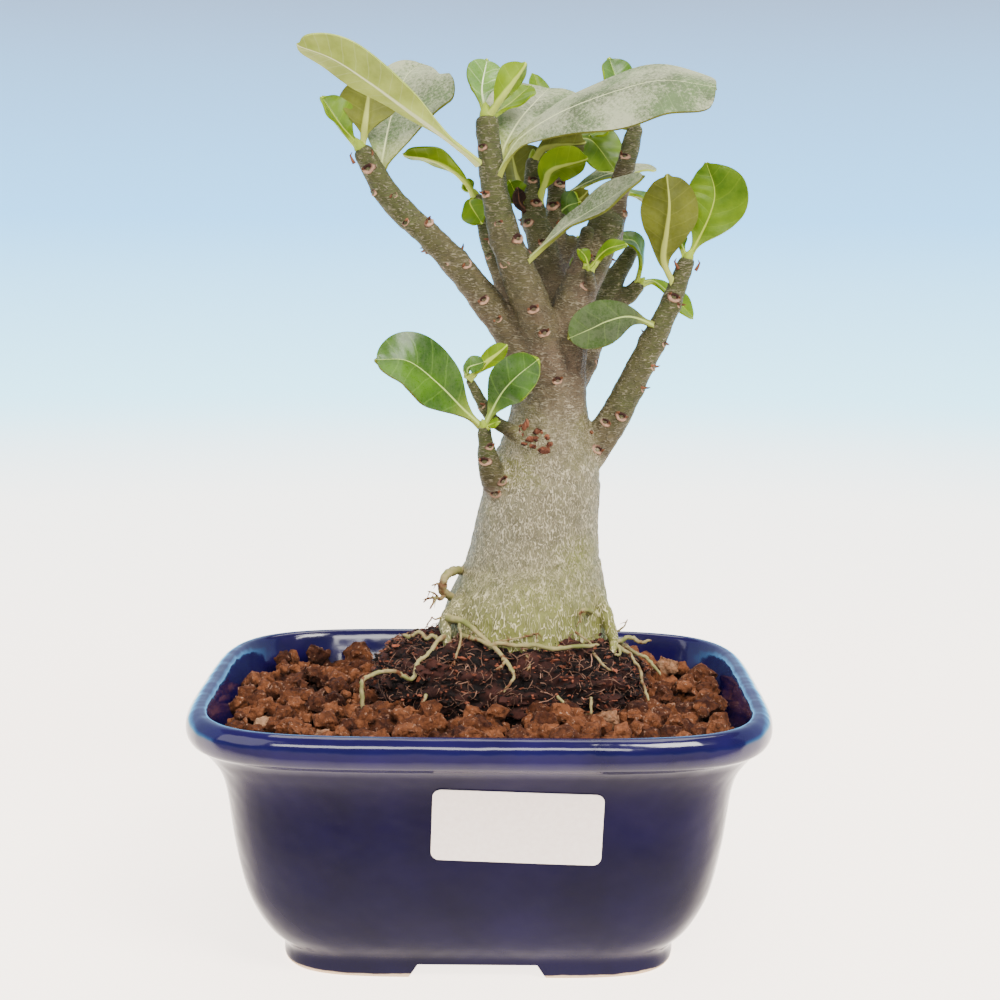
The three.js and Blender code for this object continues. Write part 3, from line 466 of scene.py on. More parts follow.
def caudex_bark(settings):
    """Succulent bark that growth has stretched into fine pale ridges, greener where young or low down."""
    material, surface = new_material("caudex_bark")
    place = add(material, "TexCoord", out="Object")
    green = add(material, "Attribute", out="Fac", attribute_name="green")
    coarse = add(material, "Attribute", out="Fac", attribute_name="coarse")
    young = add(material, "Attribute", out="Fac", attribute_name="young")
    cloud = add(
        material, "TexNoise", {"Vector": place, "Scale": every(16), "Detail": 5.0, "Roughness": 0.62})
    patch = add(material, "Math", {0: cloud, 1: 1.1, 2: green}, operation="MULTIPLY_ADD")
    share = add(material, "MapRange", {"Value": patch, "From Min": 0.62, "From Max": 1.25})
    grey = add(material, "Mix", {0: young, 6: settings.bark, 7: settings.branch_bark}, data_type="RGBA")
    moss = add(
        material, "Mix", {0: young, 6: settings.green_bark, 7: settings.green_shoot}, data_type="RGBA")
    plain = add(material, "Mix", {0: share, 6: grey, 7: moss}, data_type="RGBA")
    # Small blotches, darker and lighter, as on weathered skin
    blotch = add(
        material, "TexNoise", {"Vector": place, "Scale": every(2.6), "Detail": 5.0, "Roughness": 0.7})
    worn = add(
        material, "MapRange",
        {"Value": blotch, "From Min": 0.3, "From Max": 0.7, "To Min": 0.66, "To Max": 1.36})
    ground = add(material, "HueSaturation", {"Color": plain, "Value": worn})
    # The ridges wander, so the place that they are read from is pushed about first
    warp = add(material, "TexNoise", {"Vector": place, "Scale": every(1.9), "Detail": 3.0}, out="Color")
    bent = add(material, "VectorMath", {0: warp, "Scale": 0.0007}, operation="SCALE")
    moved = add(material, "VectorMath", {0: place, 1: bent}, operation="ADD")
    base, trunk, branch = [bark_ridges(material, moved, name) for name in BARK_RIDGES]
    lower = add(material, "Mix", {0: coarse, 2: trunk, 3: base})
    line = add(material, "Mix", {0: young, 2: lower, 3: branch})
    fade = add(material, "TexNoise", {"Vector": place, "Scale": every(2.4), "Detail": 3.0})
    kept = add(material, "MapRange", {"Value": fade, "From Min": 0.32, "From Max": 0.56, "To Min": 0.35})
    strength = add(material, "MapRange", {"Value": young, "To Min": 1.0, "To Max": 0.24})
    shown = add(material, "Math", {0: line, 1: kept}, operation="MULTIPLY")
    shown = add(material, "Math", {0: shown, 1: strength}, operation="MULTIPLY")
    cream = add(material, "Mix", {0: coarse, 6: srgb("#d2c3a2"), 7: srgb("#e0d2a0")}, data_type="RGBA")
    netted = add(material, "Mix", {0: shown, 6: ground, 7: cream}, data_type="RGBA")
    rust = add(material, "Attribute", out="Fac", attribute_name="rust")
    colour = add(material, "Mix", {0: rust, 6: netted, 7: srgb("#7a4028")}, data_type="RGBA")
    bump = add(material, "Bump", {"Height": line, "Strength": 0.9, "Distance": 0.0004})
    fine = add(
        material, "TexNoise", {"Vector": place, "Scale": every(1.1), "Detail": 6.0, "Roughness": 0.7})
    both = add(material, "Bump", {"Height": fine, "Normal": bump, "Strength": 0.7, "Distance": 0.0004})
    feed(material, surface, {"Base Color": colour, "Roughness": 0.62, "Specular IOR Level": 0.22,
                             "Normal": both})
    return material


def plain_skin(name, low, high, roughness, size=2.0, middle=None):
    """Dry plant skin in two or three tones that drift into each other."""
    material, surface = new_material(name)
    place = add(material, "TexCoord", out="Object")
    tone = add(material, "Attribute", out="Fac", attribute_name="tone")
    drift = add(material, "TexNoise", {"Vector": place, "Scale": every(size), "Detail": 4.0})
    mixed = add(material, "Math", {0: drift, 1: 0.7, 2: tone}, operation="MULTIPLY_ADD")
    stops = [(0.2, low), (0.9, high)] + ([(0.55, middle)] if middle else [])
    colour = add(material, "ValToRGB", {"Fac": mixed}, stops=stops)
    bump = add(material, "Bump", {"Height": drift, "Strength": 0.4, "Distance": 0.0002})
    feed(material, surface, {"Base Color": colour, "Roughness": roughness, "Specular IOR Level": 0.25,
                             "Normal": bump})
    return material


def leaf_skin(name, look):
    """Leathery leaf skin: a pale midrib and side veins, blotches, and dust lying on its upper side."""
    material, surface = new_material("leaf_" + name)
    place = add(material, "TexCoord", out="Object")
    spot = add(material, "Attribute", out="Vector", attribute_name="leaf_place")
    across, along, share = add(material, "SeparateXYZ", {"Vector": spot}).node.outputs
    side = add(material, "Math", {0: across}, operation="ABSOLUTE")
    # The midrib is widest at the stalk and fades before the tip
    rib_width = add(
        material, "MapRange",
        {"Value": share, "From Max": 0.9, "To Min": look["rib"] * 2.0, "To Max": look["rib"] * 0.3})
    rib_reach = add(material, "Math", {0: side, 1: rib_width}, operation="DIVIDE")
    rib = add(material, "MapRange", {"Value": rib_reach, "From Min": 1.3, "From Max": 0.6})
    # Side veins leave the midrib forwards, one every few millimetres, and thin out towards the rim
    sweep = add(material, "Math", {0: side, 1: -0.55, 2: along}, operation="MULTIPLY_ADD")
    bend = add(material, "TexNoise", {"Vector": place, "Scale": every(8), "Detail": 2.0})
    bent = add(material, "Math", {0: bend, 1: 2.2, 2: sweep}, operation="MULTIPLY_ADD")
    turns = add(material, "Math", {0: bent, 1: 1 / look["vein_step"]}, operation="MULTIPLY")
    wave = add(material, "Math", {0: turns, 1: 0.5}, operation="PINGPONG")
    vein = add(
        material, "MapRange",
        {"Value": wave, "From Min": 0.06, "From Max": 0.01, "To Max": look["veins"]})
    cloud = add(
        material, "TexNoise", {"Vector": place, "Scale": every(11), "Detail": 5.0, "Roughness": 0.62})
    body = add(
        material, "ValToRGB", {"Fac": cloud},
        stops=[(0.34, look["dark"]), (0.66, look["light"])])
    # Dust lies in patches of fine specks
    patch = add(material, "TexNoise", {"Vector": place, "Scale": every(14), "Detail": 3.0})
    film = add(
        material, "TexNoise", {"Vector": place, "Scale": every(0.8), "Detail": 4.0, "Roughness": 0.8})
    lying = add(material, "Math", {0: patch, 1: 0.9, 2: film}, operation="MULTIPLY_ADD")
    dust = add(
        material, "MapRange",
        {"Value": lying, "From Min": 0.8, "From Max": 1.08, "To Min": look["dust"] * 0.2,
         "To Max": look["dust"]})
    veined = add(material, "Mix", {0: vein, 6: body, 7: srgb(look["vein"])}, data_type="RGBA")
    dusted = add(material, "Mix", {0: dust, 6: veined, 7: srgb("#b9b99a")}, data_type="RGBA")
    ribbed = add(material, "Mix", {0: rib, 6: dusted, 7: srgb(look["midrib"])}, data_type="RGBA")
    # The stalk and the foot of the blade are paler and more yellow than the rest
    foot = add(
        material, "MapRange", {"Value": share, "From Min": 0.3, "From Max": 0.06, "To Max": look["foot"]})
    footed = add(material, "Mix", {0: foot, 6: ribbed, 7: srgb("#b3bd52")}, data_type="RGBA")
    gloss = add(
        material, "MapRange",
        {"Value": film, "From Min": 0.3, "From Max": 0.7, "To Min": look["rough"],
         "To Max": look["rough"] + 0.16})
    relief = add(material, "Math", {0: vein, 1: -0.6, 2: cloud}, operation="MULTIPLY_ADD")
    bump = add(material, "Bump", {"Height": relief, "Strength": 0.3, "Distance": 0.0004})
    feed(material, surface, {"Base Color": footed, "Roughness": gloss, "Normal": bump,
                             "Specular IOR Level": look["sheen"], "Subsurface Weight": look["glow"],
                             "Subsurface Radius": (0.6, 1.0, 0.25), "Subsurface Scale": 0.0012})
    return material


LEAF_LOOKS = {
    "dusty_upper": dict(
        dark="#1d3412", light="#3f5c2a", vein="#7f8f5c", midrib="#c3c795", rib=0.15, vein_step=3.4,
        veins=0.3, dust=0.62, rough=0.5, foot=0.5, glow=0.0, sheen=0.05),
    "glossy_upper": dict(
        dark="#224104", light="#436908", vein="#6f9237", midrib="#a9bf66", rib=0.17, vein_step=5.2,
        veins=0.24, dust=0.06, rough=0.24, foot=0.5, glow=0.0, sheen=0.24),
    "dull_upper": dict(
        dark="#1b2c03", light="#2f480e", vein="#587026", midrib="#a0ae62", rib=0.17, vein_step=4.6,
        veins=0.24, dust=0.1, rough=0.42, foot=0.5, glow=0.0, sheen=0.05),
    "pale_glossy": dict(
        dark="#466d22", light="#789b46", vein="#a9c07c", midrib="#c5d39a", rib=0.2, vein_step=3.0,
        veins=0.5, dust=0.05, rough=0.2, foot=0.4, glow=0.05, sheen=0.4),
    "young_upper": dict(
        dark="#405c0b", light="#678112", vein="#80981b", midrib="#a3b13e", rib=0.17, vein_step=3.4,
        veins=0.2, dust=0.0, rough=0.26, foot=0.3, glow=0.05, sheen=0.14),
    "olive_under": dict(
        dark="#474b0c", light="#636717", vein="#7c8031", midrib="#a1a550", rib=0.36, vein_step=3.4,
        veins=0.25, dust=0.04, rough=0.45, foot=0.4, glow=0.0, sheen=0.12),
    "pale_under": dict(
        dark="#808e34", light="#a6b351", vein="#bac386", midrib="#d0d6a2", rib=0.26, vein_step=3.4,
        veins=0.25, dust=0.04, rough=0.45, foot=0.5, glow=0.0, sheen=0.12),
    "fresh_under": dict(
        dark="#597304", light="#7a920c", vein="#93a62e", midrib="#b1bf52", rib=0.36, vein_step=3.0,
        veins=0.25, dust=0.0, rough=0.34, foot=0.4, glow=0.05, sheen=0.12),
    "dried_skin": dict(
        dark="#1b0f0a", light="#402619", vein="#523425", midrib="#5e3f2e", rib=0.3, vein_step=3.0,
        veins=0.3, dust=0.0, rough=0.8, foot=0.0, glow=0.0, sheen=0.2),
}


# The pot

OUTER_WALL = [
    (0, 50.4), (1, 51), (4.6, 51), (9.5, 55.4), (15.5, 58.9), (22, 61.2), (33, 63.4), (45, 65),
    (51, 66.7), (55, 69.3), (57.8, 71.9), (59.2, 74), (61.4, 75), (64.2, 74.7), (66, 73.2), (66.5, 71.4),
]
RIM_HALF_LENGTH = 75
RIM_HALF_WIDTH = 61.5
INNER_WALL = [(65.4, 69.4), (58, 66.6), (50, 62.2), (36, 59.2), (22, 56.2), (13, 51.6), (9.2, 45)]
RIM_SQUARENESS = 4.46
FOOT_SQUARENESS = 5.4
POT_POINTS = 160
FOOT_RING = 7.4
FOOT_GAP_HEIGHT = 3.4
FOOT_GAP_TOP = 15
FOOT_GAP_BOTTOM = 18
DRAIN_RADIUS = 6.5
DRAIN_OFFSET = 22
FLOOR_TOP = 9.2
EDGE_ROUNDING = 0.45


def plan_at(half_length, settings):
    """Half width and squareness of the pot's plan where it has this half length."""
    foot_length = settings.foot_half_length / MM
    foot_width = settings.foot_half_width / MM
    share = (half_length - foot_length) / (RIM_HALF_LENGTH - foot_length)
    squareness = FOOT_SQUARENESS + (RIM_SQUARENESS - FOOT_SQUARENESS) * min(1, max(0, share))
    return foot_width + (RIM_HALF_WIDTH - foot_width) * share, squareness


def ring_point(turn, z, half_length, settings):
    """One point of a level of the pot, a rounded rectangle."""
    half_width, squareness = plan_at(half_length, settings)
    c = math.cos(turn)
    s = math.sin(turn)
    x = half_length * math.copysign(abs(c) ** (2 / squareness), c)
    y = half_width * math.copysign(abs(s) ** (2 / squareness), s)
    return Vector((x, y, z)) * MM


def raise_levels(name, levels, settings):
    """Extrudes a ring up through levels of height and half length, and closes both ends."""
    bpy.ops.mesh.primitive_circle_add(vertices=POT_POINTS, radius=1, fill_type="NOTHING")
    piece = bpy.context.object
    piece.name = name
    edit_all(piece)
    grid = bmesh.from_edit_mesh(piece.data)
    turn = grid.verts.layers.float.new("turn")
    for vert in grid.verts:
        vert[turn] = math.atan2(vert.co.y, vert.co.x)
    for i, (z, half_length) in enumerate(levels):
        if i > 0:
            bmesh.update_edit_mesh(piece.data)
            bpy.ops.mesh.extrude_region_move()
            grid = bmesh.from_edit_mesh(piece.data)
            turn = grid.verts.layers.float["turn"]
        for vert in grid.verts:
            if vert.select:
                vert.co = ring_point(vert[turn], z, half_length, settings)
    bmesh.update_edit_mesh(piece.data)
    bpy.ops.mesh.extrude_region_move()
    bpy.ops.mesh.merge(type="CENTER")
    bpy.ops.mesh.select_all(action="DESELECT")
    bpy.ops.mesh.select_non_manifold()
    bpy.ops.mesh.extrude_region_move()
    bpy.ops.mesh.merge(type="CENTER")
    end_edit()
    piece.data.attributes.remove(piece.data.attributes["turn"])
    return piece


def foot_gap_cutter(settings):
    """A bar with sloping sides that runs under the pot from front to back."""
    depth = settings.foot_half_width * 4
    bpy.ops.mesh.primitive_cube_add(size=1, location=(0, 0, 0), scale=(1, depth, 1))
    bar = bpy.context.object
    bpy.ops.object.transform_apply(scale=True)
    rows = []
    for vert in bar.data.vertices:
        upper = vert.co.z > 0
        reach = FOOT_GAP_TOP if upper else FOOT_GAP_BOTTOM
        rows.append((math.copysign(reach, vert.co.x), vert.co.y / MM, FOOT_GAP_HEIGHT if upper else -1))
    move_points(bar, rows)
    return bar


def build_pot(settings):
    """The glazed pot, with the recess under it, the gap in its foot and two drain holes."""
    path = smooth_path(OUTER_WALL + INNER_WALL, 4)
    pot = raise_levels("glazed_pot", [tuple(row) for row in path], settings)
    sole = settings.foot_half_length / MM - FOOT_RING
    levels = [(-1, sole), (FOOT_GAP_HEIGHT - 0.6, sole), (FOOT_GAP_HEIGHT, sole - 0.6)]
    recess = raise_levels("recess", levels, settings)
    cut_away(pot, recess)
    cut_away(pot, foot_gap_cutter(settings))
    for side in (-1, 1):
        bpy.ops.mesh.primitive_cylinder_add(
            vertices=48, radius=DRAIN_RADIUS * MM, depth=3 * FLOOR_TOP * MM,
            location=(side * DRAIN_OFFSET * MM, 0, 0))
        cut_away(pot, bpy.context.object)
    apply_modifier(
        pot, "BEVEL", width=EDGE_ROUNDING * MM, segments=2, limit_method="ANGLE",
        angle_limit=math.radians(55))
    smooth(pot, 40)
    return finish_piece(pot, "glazed_pot", "glazed_stoneware", [glazed_stoneware(settings)], "pot")


# The sticker

LABEL_CENTRE = (9.6, 43)
LABEL_SIZE = (41.5, 18.6)
LABEL_TILT = math.radians(-1.9)
LABEL_THICKNESS = 0.22
LABEL_CORNER = 2.1


def front_wall_y(x, z, settings):
    """Where the pot's front wall stands at a place seen from the front."""
    heights = [z for z, _ in OUTER_WALL]
    half_lengths = [a for _, a in OUTER_WALL]
    half_length = float(np.interp(z, heights, half_lengths))
    half_width, n = plan_at(half_length, settings)
    return -half_width * (1 - abs(x / half_length) ** n) ** (1 / n)


def build_label(settings):
    """The blank sticker with rounded corners, bent to the pot's front wall."""
    bpy.ops.mesh.primitive_plane_add(size=1, location=(0, 0, 0))
    label = bpy.context.object
    move_points(label, [(v.co.x * LABEL_SIZE[0], 0, v.co.y * LABEL_SIZE[1]) for v in label.data.vertices])
    edit_all(label)
    bpy.ops.mesh.bevel(offset=LABEL_CORNER * MM, segments=8, affect="VERTICES")
    for i in range(1, 16):
        bpy.ops.mesh.select_all(action="SELECT")
        x = (i / 16 - 0.5) * LABEL_SIZE[0] * MM
        bpy.ops.mesh.bisect(plane_co=(x, 0, 0), plane_no=(1, 0, 0))
    for i in range(1, 6):
        bpy.ops.mesh.select_all(action="SELECT")
        z = (i / 6 - 0.5) * LABEL_SIZE[1] * MM
        bpy.ops.mesh.bisect(plane_co=(0, 0, z), plane_no=(0, 0, 1))
    end_edit(outward=False)
    rows = []
    for x, _, z in points_of(label):
        u = LABEL_CENTRE[0] + x * math.cos(LABEL_TILT) - z * math.sin(LABEL_TILT)
        w = LABEL_CENTRE[1] + x * math.sin(LABEL_TILT) + z * math.cos(LABEL_TILT)
        rows.append((u, front_wall_y(u, w, settings) - LABEL_THICKNESS - 0.05, w))
    move_points(label, rows)
    apply_modifier(label, "SOLIDIFY", thickness=LABEL_THICKNESS * MM, offset=-1)
    smooth(label, 40)
    return finish_piece(label, "blank_sticker", "label_paper", [label_paper()], "label")


# Soil

BALL_CENTRE = (7.5, 12)
BALL_LEVELS = [
    (16, 20, 17), (30, 26, 22), (48, 31, 28), (58, 34.5, 31.5), (64.5, 37, 33.6), (69, 35.4, 31.6),
    (73, 32, 28.6), (76, 28, 25), (78, 20, 18),
]
BALL_SQUARENESS = 2.8
FILL_HEIGHT = 60.4
FILL_SLOPE = -0.03
GRAIN_STEP = 0.56
PEAT_STEP = 0.66
PEAT_CLODS = 300
PEAT_CRUMBS = 6400
# The hidden foot of the root ball stays plain below this height
BALL_SHOWN_FROM = 54
# Where loose bits may lie without touching the pot: across either way, forward and back
LOOSE_REACH = (60, -30, 54)
# Where the granules are flat, faces are dropped until this share is left
GRAIN_FACES_KEPT = 0.6
# The granules' finely shaped layer starts this high, above a plain block that the pot hides
GRAIN_FLOOR = 53
# Leaf scars, and the corners of chips, follow each other round at this angle
GOLDEN_ANGLE = math.radians(137.5)


def ball_reach(angle, half_x, half_y):
    """How far the root ball reaches from its middle in one direction."""
    c = math.cos(angle)
    s = math.sin(angle)
    spread = abs(c) ** BALL_SQUARENESS + abs(s) ** BALL_SQUARENESS
    scale = spread ** (-1 / BALL_SQUARENESS)
    return half_x * c * scale, half_y * s * scale


def inner_plan(z):
    """Half length of the pot's inside at a height."""
    rows = sorted(INNER_WALL)
    return float(np.interp(z, [r[0] for r in rows], [r[1] for r in rows]))


def fits_inside(x, y, z, margin, settings):
    """Whether a place is inside the pot's wall by this margin."""
    half_length = inner_plan(z)
    half_width, n = plan_at(half_length, settings)
    return abs(x / (half_length - margin)) ** n + abs(y / (half_width - margin)) ** n < 1


def on_root_ball(x, y, margin):
    """Whether a place is on the root ball or this near to it."""
    _, half_x, half_y = BALL_LEVELS[5]
    dx = abs(x - BALL_CENTRE[0]) / (half_x + margin)
    dy = abs(y - BALL_CENTRE[1]) / (half_y + margin)
    return dx ** BALL_SQUARENESS + dy ** BALL_SQUARENESS < 1


def chip(centre, radii, corners, tilt, draw):
    """A broken, flat-sided bit as points and faces: the tight skin round corners on a squashed ball."""
    turn = Matrix.Rotation(draw.uniform(0, math.tau), 3, "Z")
    turn = turn @ Matrix.Rotation(draw.uniform(-tilt, tilt), 3, "X")
    grid = bmesh.new()
    for i in range(corners):
        up = 1 - 2 * (i + 0.5) / corners
        angle = i * GOLDEN_ANGLE + draw.uniform(-0.5, 0.5)
        reach = math.sqrt(1 - up * up) * draw.uniform(0.76, 1.16)
        corner = Vector((
            math.cos(angle) * reach * radii[0], math.sin(angle) * reach * radii[1], up * radii[2]))
        grid.verts.new((Vector(centre) + turn @ corner) * MM)
    bmesh.ops.convex_hull(grid, input=grid.verts)
    bmesh.ops.delete(grid, geom=[vert for vert in grid.verts if not vert.link_faces], context="VERTS")
    bmesh.ops.recalc_face_normals(grid, faces=grid.faces)
    grid.verts.index_update()
    points = [tuple(vert.co) for vert in grid.verts]
    faces = [[vert.index for vert in face.verts] for face in grid.faces]
    grid.free()
    return points, faces


def gather(name, chips):
    """One piece made of many chips."""
    points = []
    faces = []
    for corners, sides in chips:
        first = len(points)
        points += corners
        faces += [[first + i for i in side] for side in sides]
    mesh = bpy.data.meshes.new(name)
    mesh.from_pydata(points, [], faces)
    piece = bpy.data.objects.new(name, mesh)
    bpy.context.scene.collection.objects.link(piece)
    return piece


def granule_places(settings, pot_settings, draw):
    """Where granules lie: a shaken grid over the fill, with a thinner second layer on top."""
    pitch = settings.granule_pitch / MM
    places = []
    for layer, share in ((0, 1.0), (1, 0.5)):
        row = -int(RIM_HALF_WIDTH / (pitch * 0.866)) - 1
        while row * pitch * 0.866 < RIM_HALF_WIDTH:
            for column in range(-14, 15):
                x = (column + 0.5 * (row % 2) + 0.33 * layer) * pitch + draw.uniform(-1.5, 1.5)
                y = (row + 0.4 * layer) * pitch * 0.866 + draw.uniform(-1.5, 1.5)
                size = draw.uniform(2.9, 4.4) if draw.random() < 0.75 else draw.uniform(1.8, 2.6)
                z = FILL_HEIGHT + FILL_SLOPE * y + 2.9 * layer + draw.uniform(-1.3, 1.0) - 0.25 * size
                kept = draw.random() < share
                inside = fits_inside(x, y, min(z, 60), size * 0.8, pot_settings)
                if kept and inside and not on_root_ball(x, y, 0.5 * size):
                    places.append((x, y, z, size))
            row += 1
    return places


def crumbs_on(rows, size):
    """Rounded crumbs about this many millimetres apart: 1 on a crumb's top, 0 or less between crumbs."""
    return np.array([1 - 1.9 * noise.voronoi(Vector(row) / size)[0][0] for row in rows])


def cut_below(piece, height):
    """Cuts off what lies under a height in millimetres and closes the cut."""
    edit_all(piece)
    bpy.ops.mesh.bisect(plane_co=(0, 0, height * MM), plane_no=(0, 0, 1), clear_inner=True, use_fill=True)
    end_edit(outward=False)


def build_granules(settings, pot_settings):
    """Broken granules fused into one crumbly layer, over a plain block that the pot hides."""
    draw = random.Random(settings.seed)
    places = granule_places(settings, pot_settings, draw)
    grains = []
    for x, y, z, size in places:
        radii = [size * draw.uniform(*span) for span in ((1.0, 1.3), (0.9, 1.1), (0.8, 1.0))]
        grains.append(chip((x, y, z), radii, 10, 0.7, draw))
    margin = 0.5
    bed_levels = [(GRAIN_FLOOR, inner_plan(GRAIN_FLOOR) - margin),
                  (FILL_HEIGHT - 3.4, inner_plan(57) - margin)]
    bed = raise_levels("bed", bed_levels, pot_settings)
    surface = fused([bed, gather("grains", grains)], GRAIN_STEP * MM)
    cut_below(surface, GRAIN_FLOOR + 1.6)
    rows = points_of(surface)
    normals = normals_of(surface)
    raised = rows[:, 2] > GRAIN_FLOOR + 2
    crumbs = crumbs_on(rows, 1.5)
    bumps = 0.46 * roughness_on(rows, 2.1, 3) + 0.26 * crumbs - 0.16
    rows += normals * (bumps * raised)[:, None]
    move_points(surface, rows)
    # Where crumbs stand out; the material paints pale dust and a painted highlight there
    mark(surface, "high", np.clip(crumbs, 0, 1))
    apply_modifier(surface, "DECIMATE", ratio=GRAIN_FACES_KEPT)
    block_levels = [(FLOOR_TOP + 1.6, 44), (13, 50.6), (22, 55.4), (36, 58.4), (GRAIN_FLOOR + 2.4, 61)]
    block = raise_levels("block", block_levels, pot_settings)
    granules = join_pieces([surface, block])
    rows = points_of(granules)
    tree = tree_of([place[:3] for place in places])
    tones = [draw.uniform(-0.06, 0.3) if draw.random() < 0.97 else draw.uniform(0.45, 0.6) for _ in places]
    tone = np.empty(len(rows))
    depth = np.empty(len(rows))
    for i, row in enumerate(rows):
        _, nearest, _ = tree.find(row)
        place = places[nearest]
        tone[i] = tones[nearest]
        # Painted shade: the further a point lies below its granule's middle, the darker the material paints
        # it
        depth[i] = min(0.94, max(0.0, 1.6 * (place[2] - row[2]) / place[3] + 0.02))
    mark(granules, "tone", tone)
    mark(granules, "depth", depth)
    smooth(granules, 50)
    return finish_piece(granules, "clay_granules", "clay_granules", [baked_clay()], "soil_granules")


def ball_mesh(levels, count):
    """The root ball between levels of height and half sizes, closed at both ends."""
    ball = flat_grid(count, len(levels) - 1)
    rows = []
    for vert in ball.data.vertices:
        z, half_x, half_y = levels[round((vert.co.y + 1) / 2 * (len(levels) - 1))]
        x, y = ball_reach((vert.co.x + 1) * math.pi, half_x, half_y)
        rows.append((BALL_CENTRE[0] + x, BALL_CENTRE[1] + y, z))
    move_points(ball, rows)
    close_tube(ball)
    return ball


def close_tube(piece):
    """Sews the two long edges of a rolled-up grid together and fills its open ends."""
    edit_all(piece)
    bpy.ops.mesh.remove_doubles(threshold=0.02 * MM)
    bpy.ops.mesh.select_all(action="DESELECT")
    bpy.ops.mesh.select_non_manifold()
    bpy.ops.mesh.fill()
    end_edit()


def peat_clods(draw):
    """Clods of peat, half sunk in the mound."""
    clods = []
    levels = smooth_path(BALL_LEVELS[4:], 8)
    for _ in range(PEAT_CLODS):
        z, half_x, half_y = levels[draw.randrange(len(levels))]
        x, y = ball_reach(draw.uniform(0, math.tau), half_x, half_y)
        inward = 1 if z < 76 else draw.uniform(0.55, 1)
        size = draw.uniform(0.9, 2.3)
        radii = [size * draw.uniform(*span) for span in ((0.8, 1.4), (0.5, 0.9), (0.3, 0.7))]
        centre = (BALL_CENTRE[0] + x * inward, BALL_CENTRE[1] + y * inward, z)
        clods.append(chip(centre, radii, 10, 1.2, draw))
    return clods


def build_root_ball(settings):
    """The peat mound: flaky and fibrous where it shows, plain where the granules bury it."""
    draw = random.Random(settings.seed + 1)
    levels = smooth_path(BALL_LEVELS, 9)
    shown = [level for level in levels if level[0] > BALL_SHOWN_FROM]
    mound = fused([ball_mesh(shown, 150), gather("clods", peat_clods(draw))], PEAT_STEP * MM)
    rows = points_of(mound)
    normals = normals_of(mound)
    layered = rows * (0.7, 0.7, 1.5)
    # Clods stand out between creases, and crumbs roughen them
    swell = np.abs(roughness_on(layered, 6.5, 2))
    relief = 3.0 * swell - 1.0 + 1.3 * roughness_on(layered, 1.7, 3, 17)
    rows += normals * (relief * np.clip((rows[:, 2] - 57) / 3, 0, 1) - 0.2)[:, None]
    # The mound falls away behind the trunk
    behind = np.clip((rows[:, 1] - 2) / 20, 0, 1) * np.clip((rows[:, 2] - 60) / 12, 0, 1)
    rows[:, 2] = np.minimum(rows[:, 2], 80.5) - 2.6 * behind
    move_points(mound, rows)
    # The tone follows the swell, so the creases between clods get painted shade, with random tone on top
    mark(mound, "tone", np.clip(0.7 * swell - 0.12 + 0.15 * roughness_on(rows, 3.5, 3, 5), -0.2, 0.4))
    foot = ball_mesh([level for level in levels[::4] if level[0] < BALL_SHOWN_FROM + 3], 32)
    mound = join_pieces([mound, foot])
    smooth(mound, 60)
    finish_piece(
        mound, "peat_root_ball", "peat", [peat_fibre("damp_peat", "#070201", "#44221a")], "root_ball")
    build_peat_crumbs(mound, draw)
    build_peat_fibres(mound, settings, draw)
    return mound


def build_peat_crumbs(mound, draw):
    """Loose flakes and crumbs that lie on the mound at every angle."""
    rows = points_of(mound)
    normals = normals_of(mound)
    shown = np.nonzero(rows[:, 2] > 59)[0]
    crumbs = []
    tones = []
    while len(crumbs) < PEAT_CRUMBS:
        index = shown[draw.randrange(len(shown))]
        size = draw.uniform(0.35, 0.85) if draw.random() < 0.86 else draw.uniform(0.85, 1.4)
        centre = rows[index] + normals[index] * size * draw.uniform(-0.1, 0.35)
        if not_in_wall(centre):
            radii = [size * draw.uniform(*span) for span in ((0.9, 1.9), (0.4, 0.8), (0.2, 0.45))]
            crumbs.append(chip(centre, radii, 8, math.pi / 2, draw))
            tones += [0.85 * draw.random() ** 3 - 0.18] * len(crumbs[-1][0])
    piece = gather("peat_crumbs", crumbs)
    mark(piece, "tone", tones)
    return finish_piece(
        piece, "peat_crumbs", "peat", [peat_fibre("crumbled_peat", "#0a0402", "#8c4e37")], "root_ball")


def build_peat_fibres(mound, settings, draw):
    """Loose fibres lying on the mound and sticking out of it, mostly as dark as the peat."""
    rows = points_of(mound)
    normals = normals_of(mound)
    shown = np.nonzero(rows[:, 2] > 60)[0]
    paths = []
    tones = []
    for _ in range(settings.fibres):
        index = shown[draw.randrange(len(shown))]
        out = Vector(normals[index])
        lie = Vector((draw.uniform(-1, 1), draw.uniform(-1, 1), draw.uniform(-0.8, 0.4)))
        lie = (lie - out * lie.dot(out)).normalized()
        bend = out.cross(lie) * draw.uniform(-0.4, 0.4)
        pale = draw.random() < 0.06
        length = draw.uniform(2.0, 6.5) if pale else draw.uniform(1.6, 5.0)
        radius = draw.uniform(0.08, 0.15) if pale else draw.uniform(0.08, 0.2)
        lift = draw.uniform(0.1, 1.1)
        start = Vector(rows[index]) - lie * length * 0.5 + out * (lift - 0.35)
        path = []
        for k in range(4):
            t = k / 3
            point = start + lie * length * t + bend * length * (t - t * t)
            point += out * (lift * math.sin(math.pi * t) - 0.4)
            path.append((*point, radius * (1 - 0.6 * t)))
        if all(not_in_wall(p) for p in path):
            paths.append(path)
            tones.append(draw.uniform(0.35, 0.8) if pale else draw.random() ** 1.5 * 0.3)
    fibres = strands("peat_fibres", paths, 0)
    each = len(fibres.data.vertices) // len(paths)
    mark(fibres, "tone", np.repeat(tones, each))
    return finish_piece(
        fibres, "peat_fibres", "peat", [peat_fibre("coir_strands", "#160804", "#b0826a")], "root_ball")


def not_in_wall(point):
    """Whether a loose bit may lie here without touching the pot."""
    side, front, back = LOOSE_REACH
    return abs(point[0]) < side and front < point[1] < back


# The wood

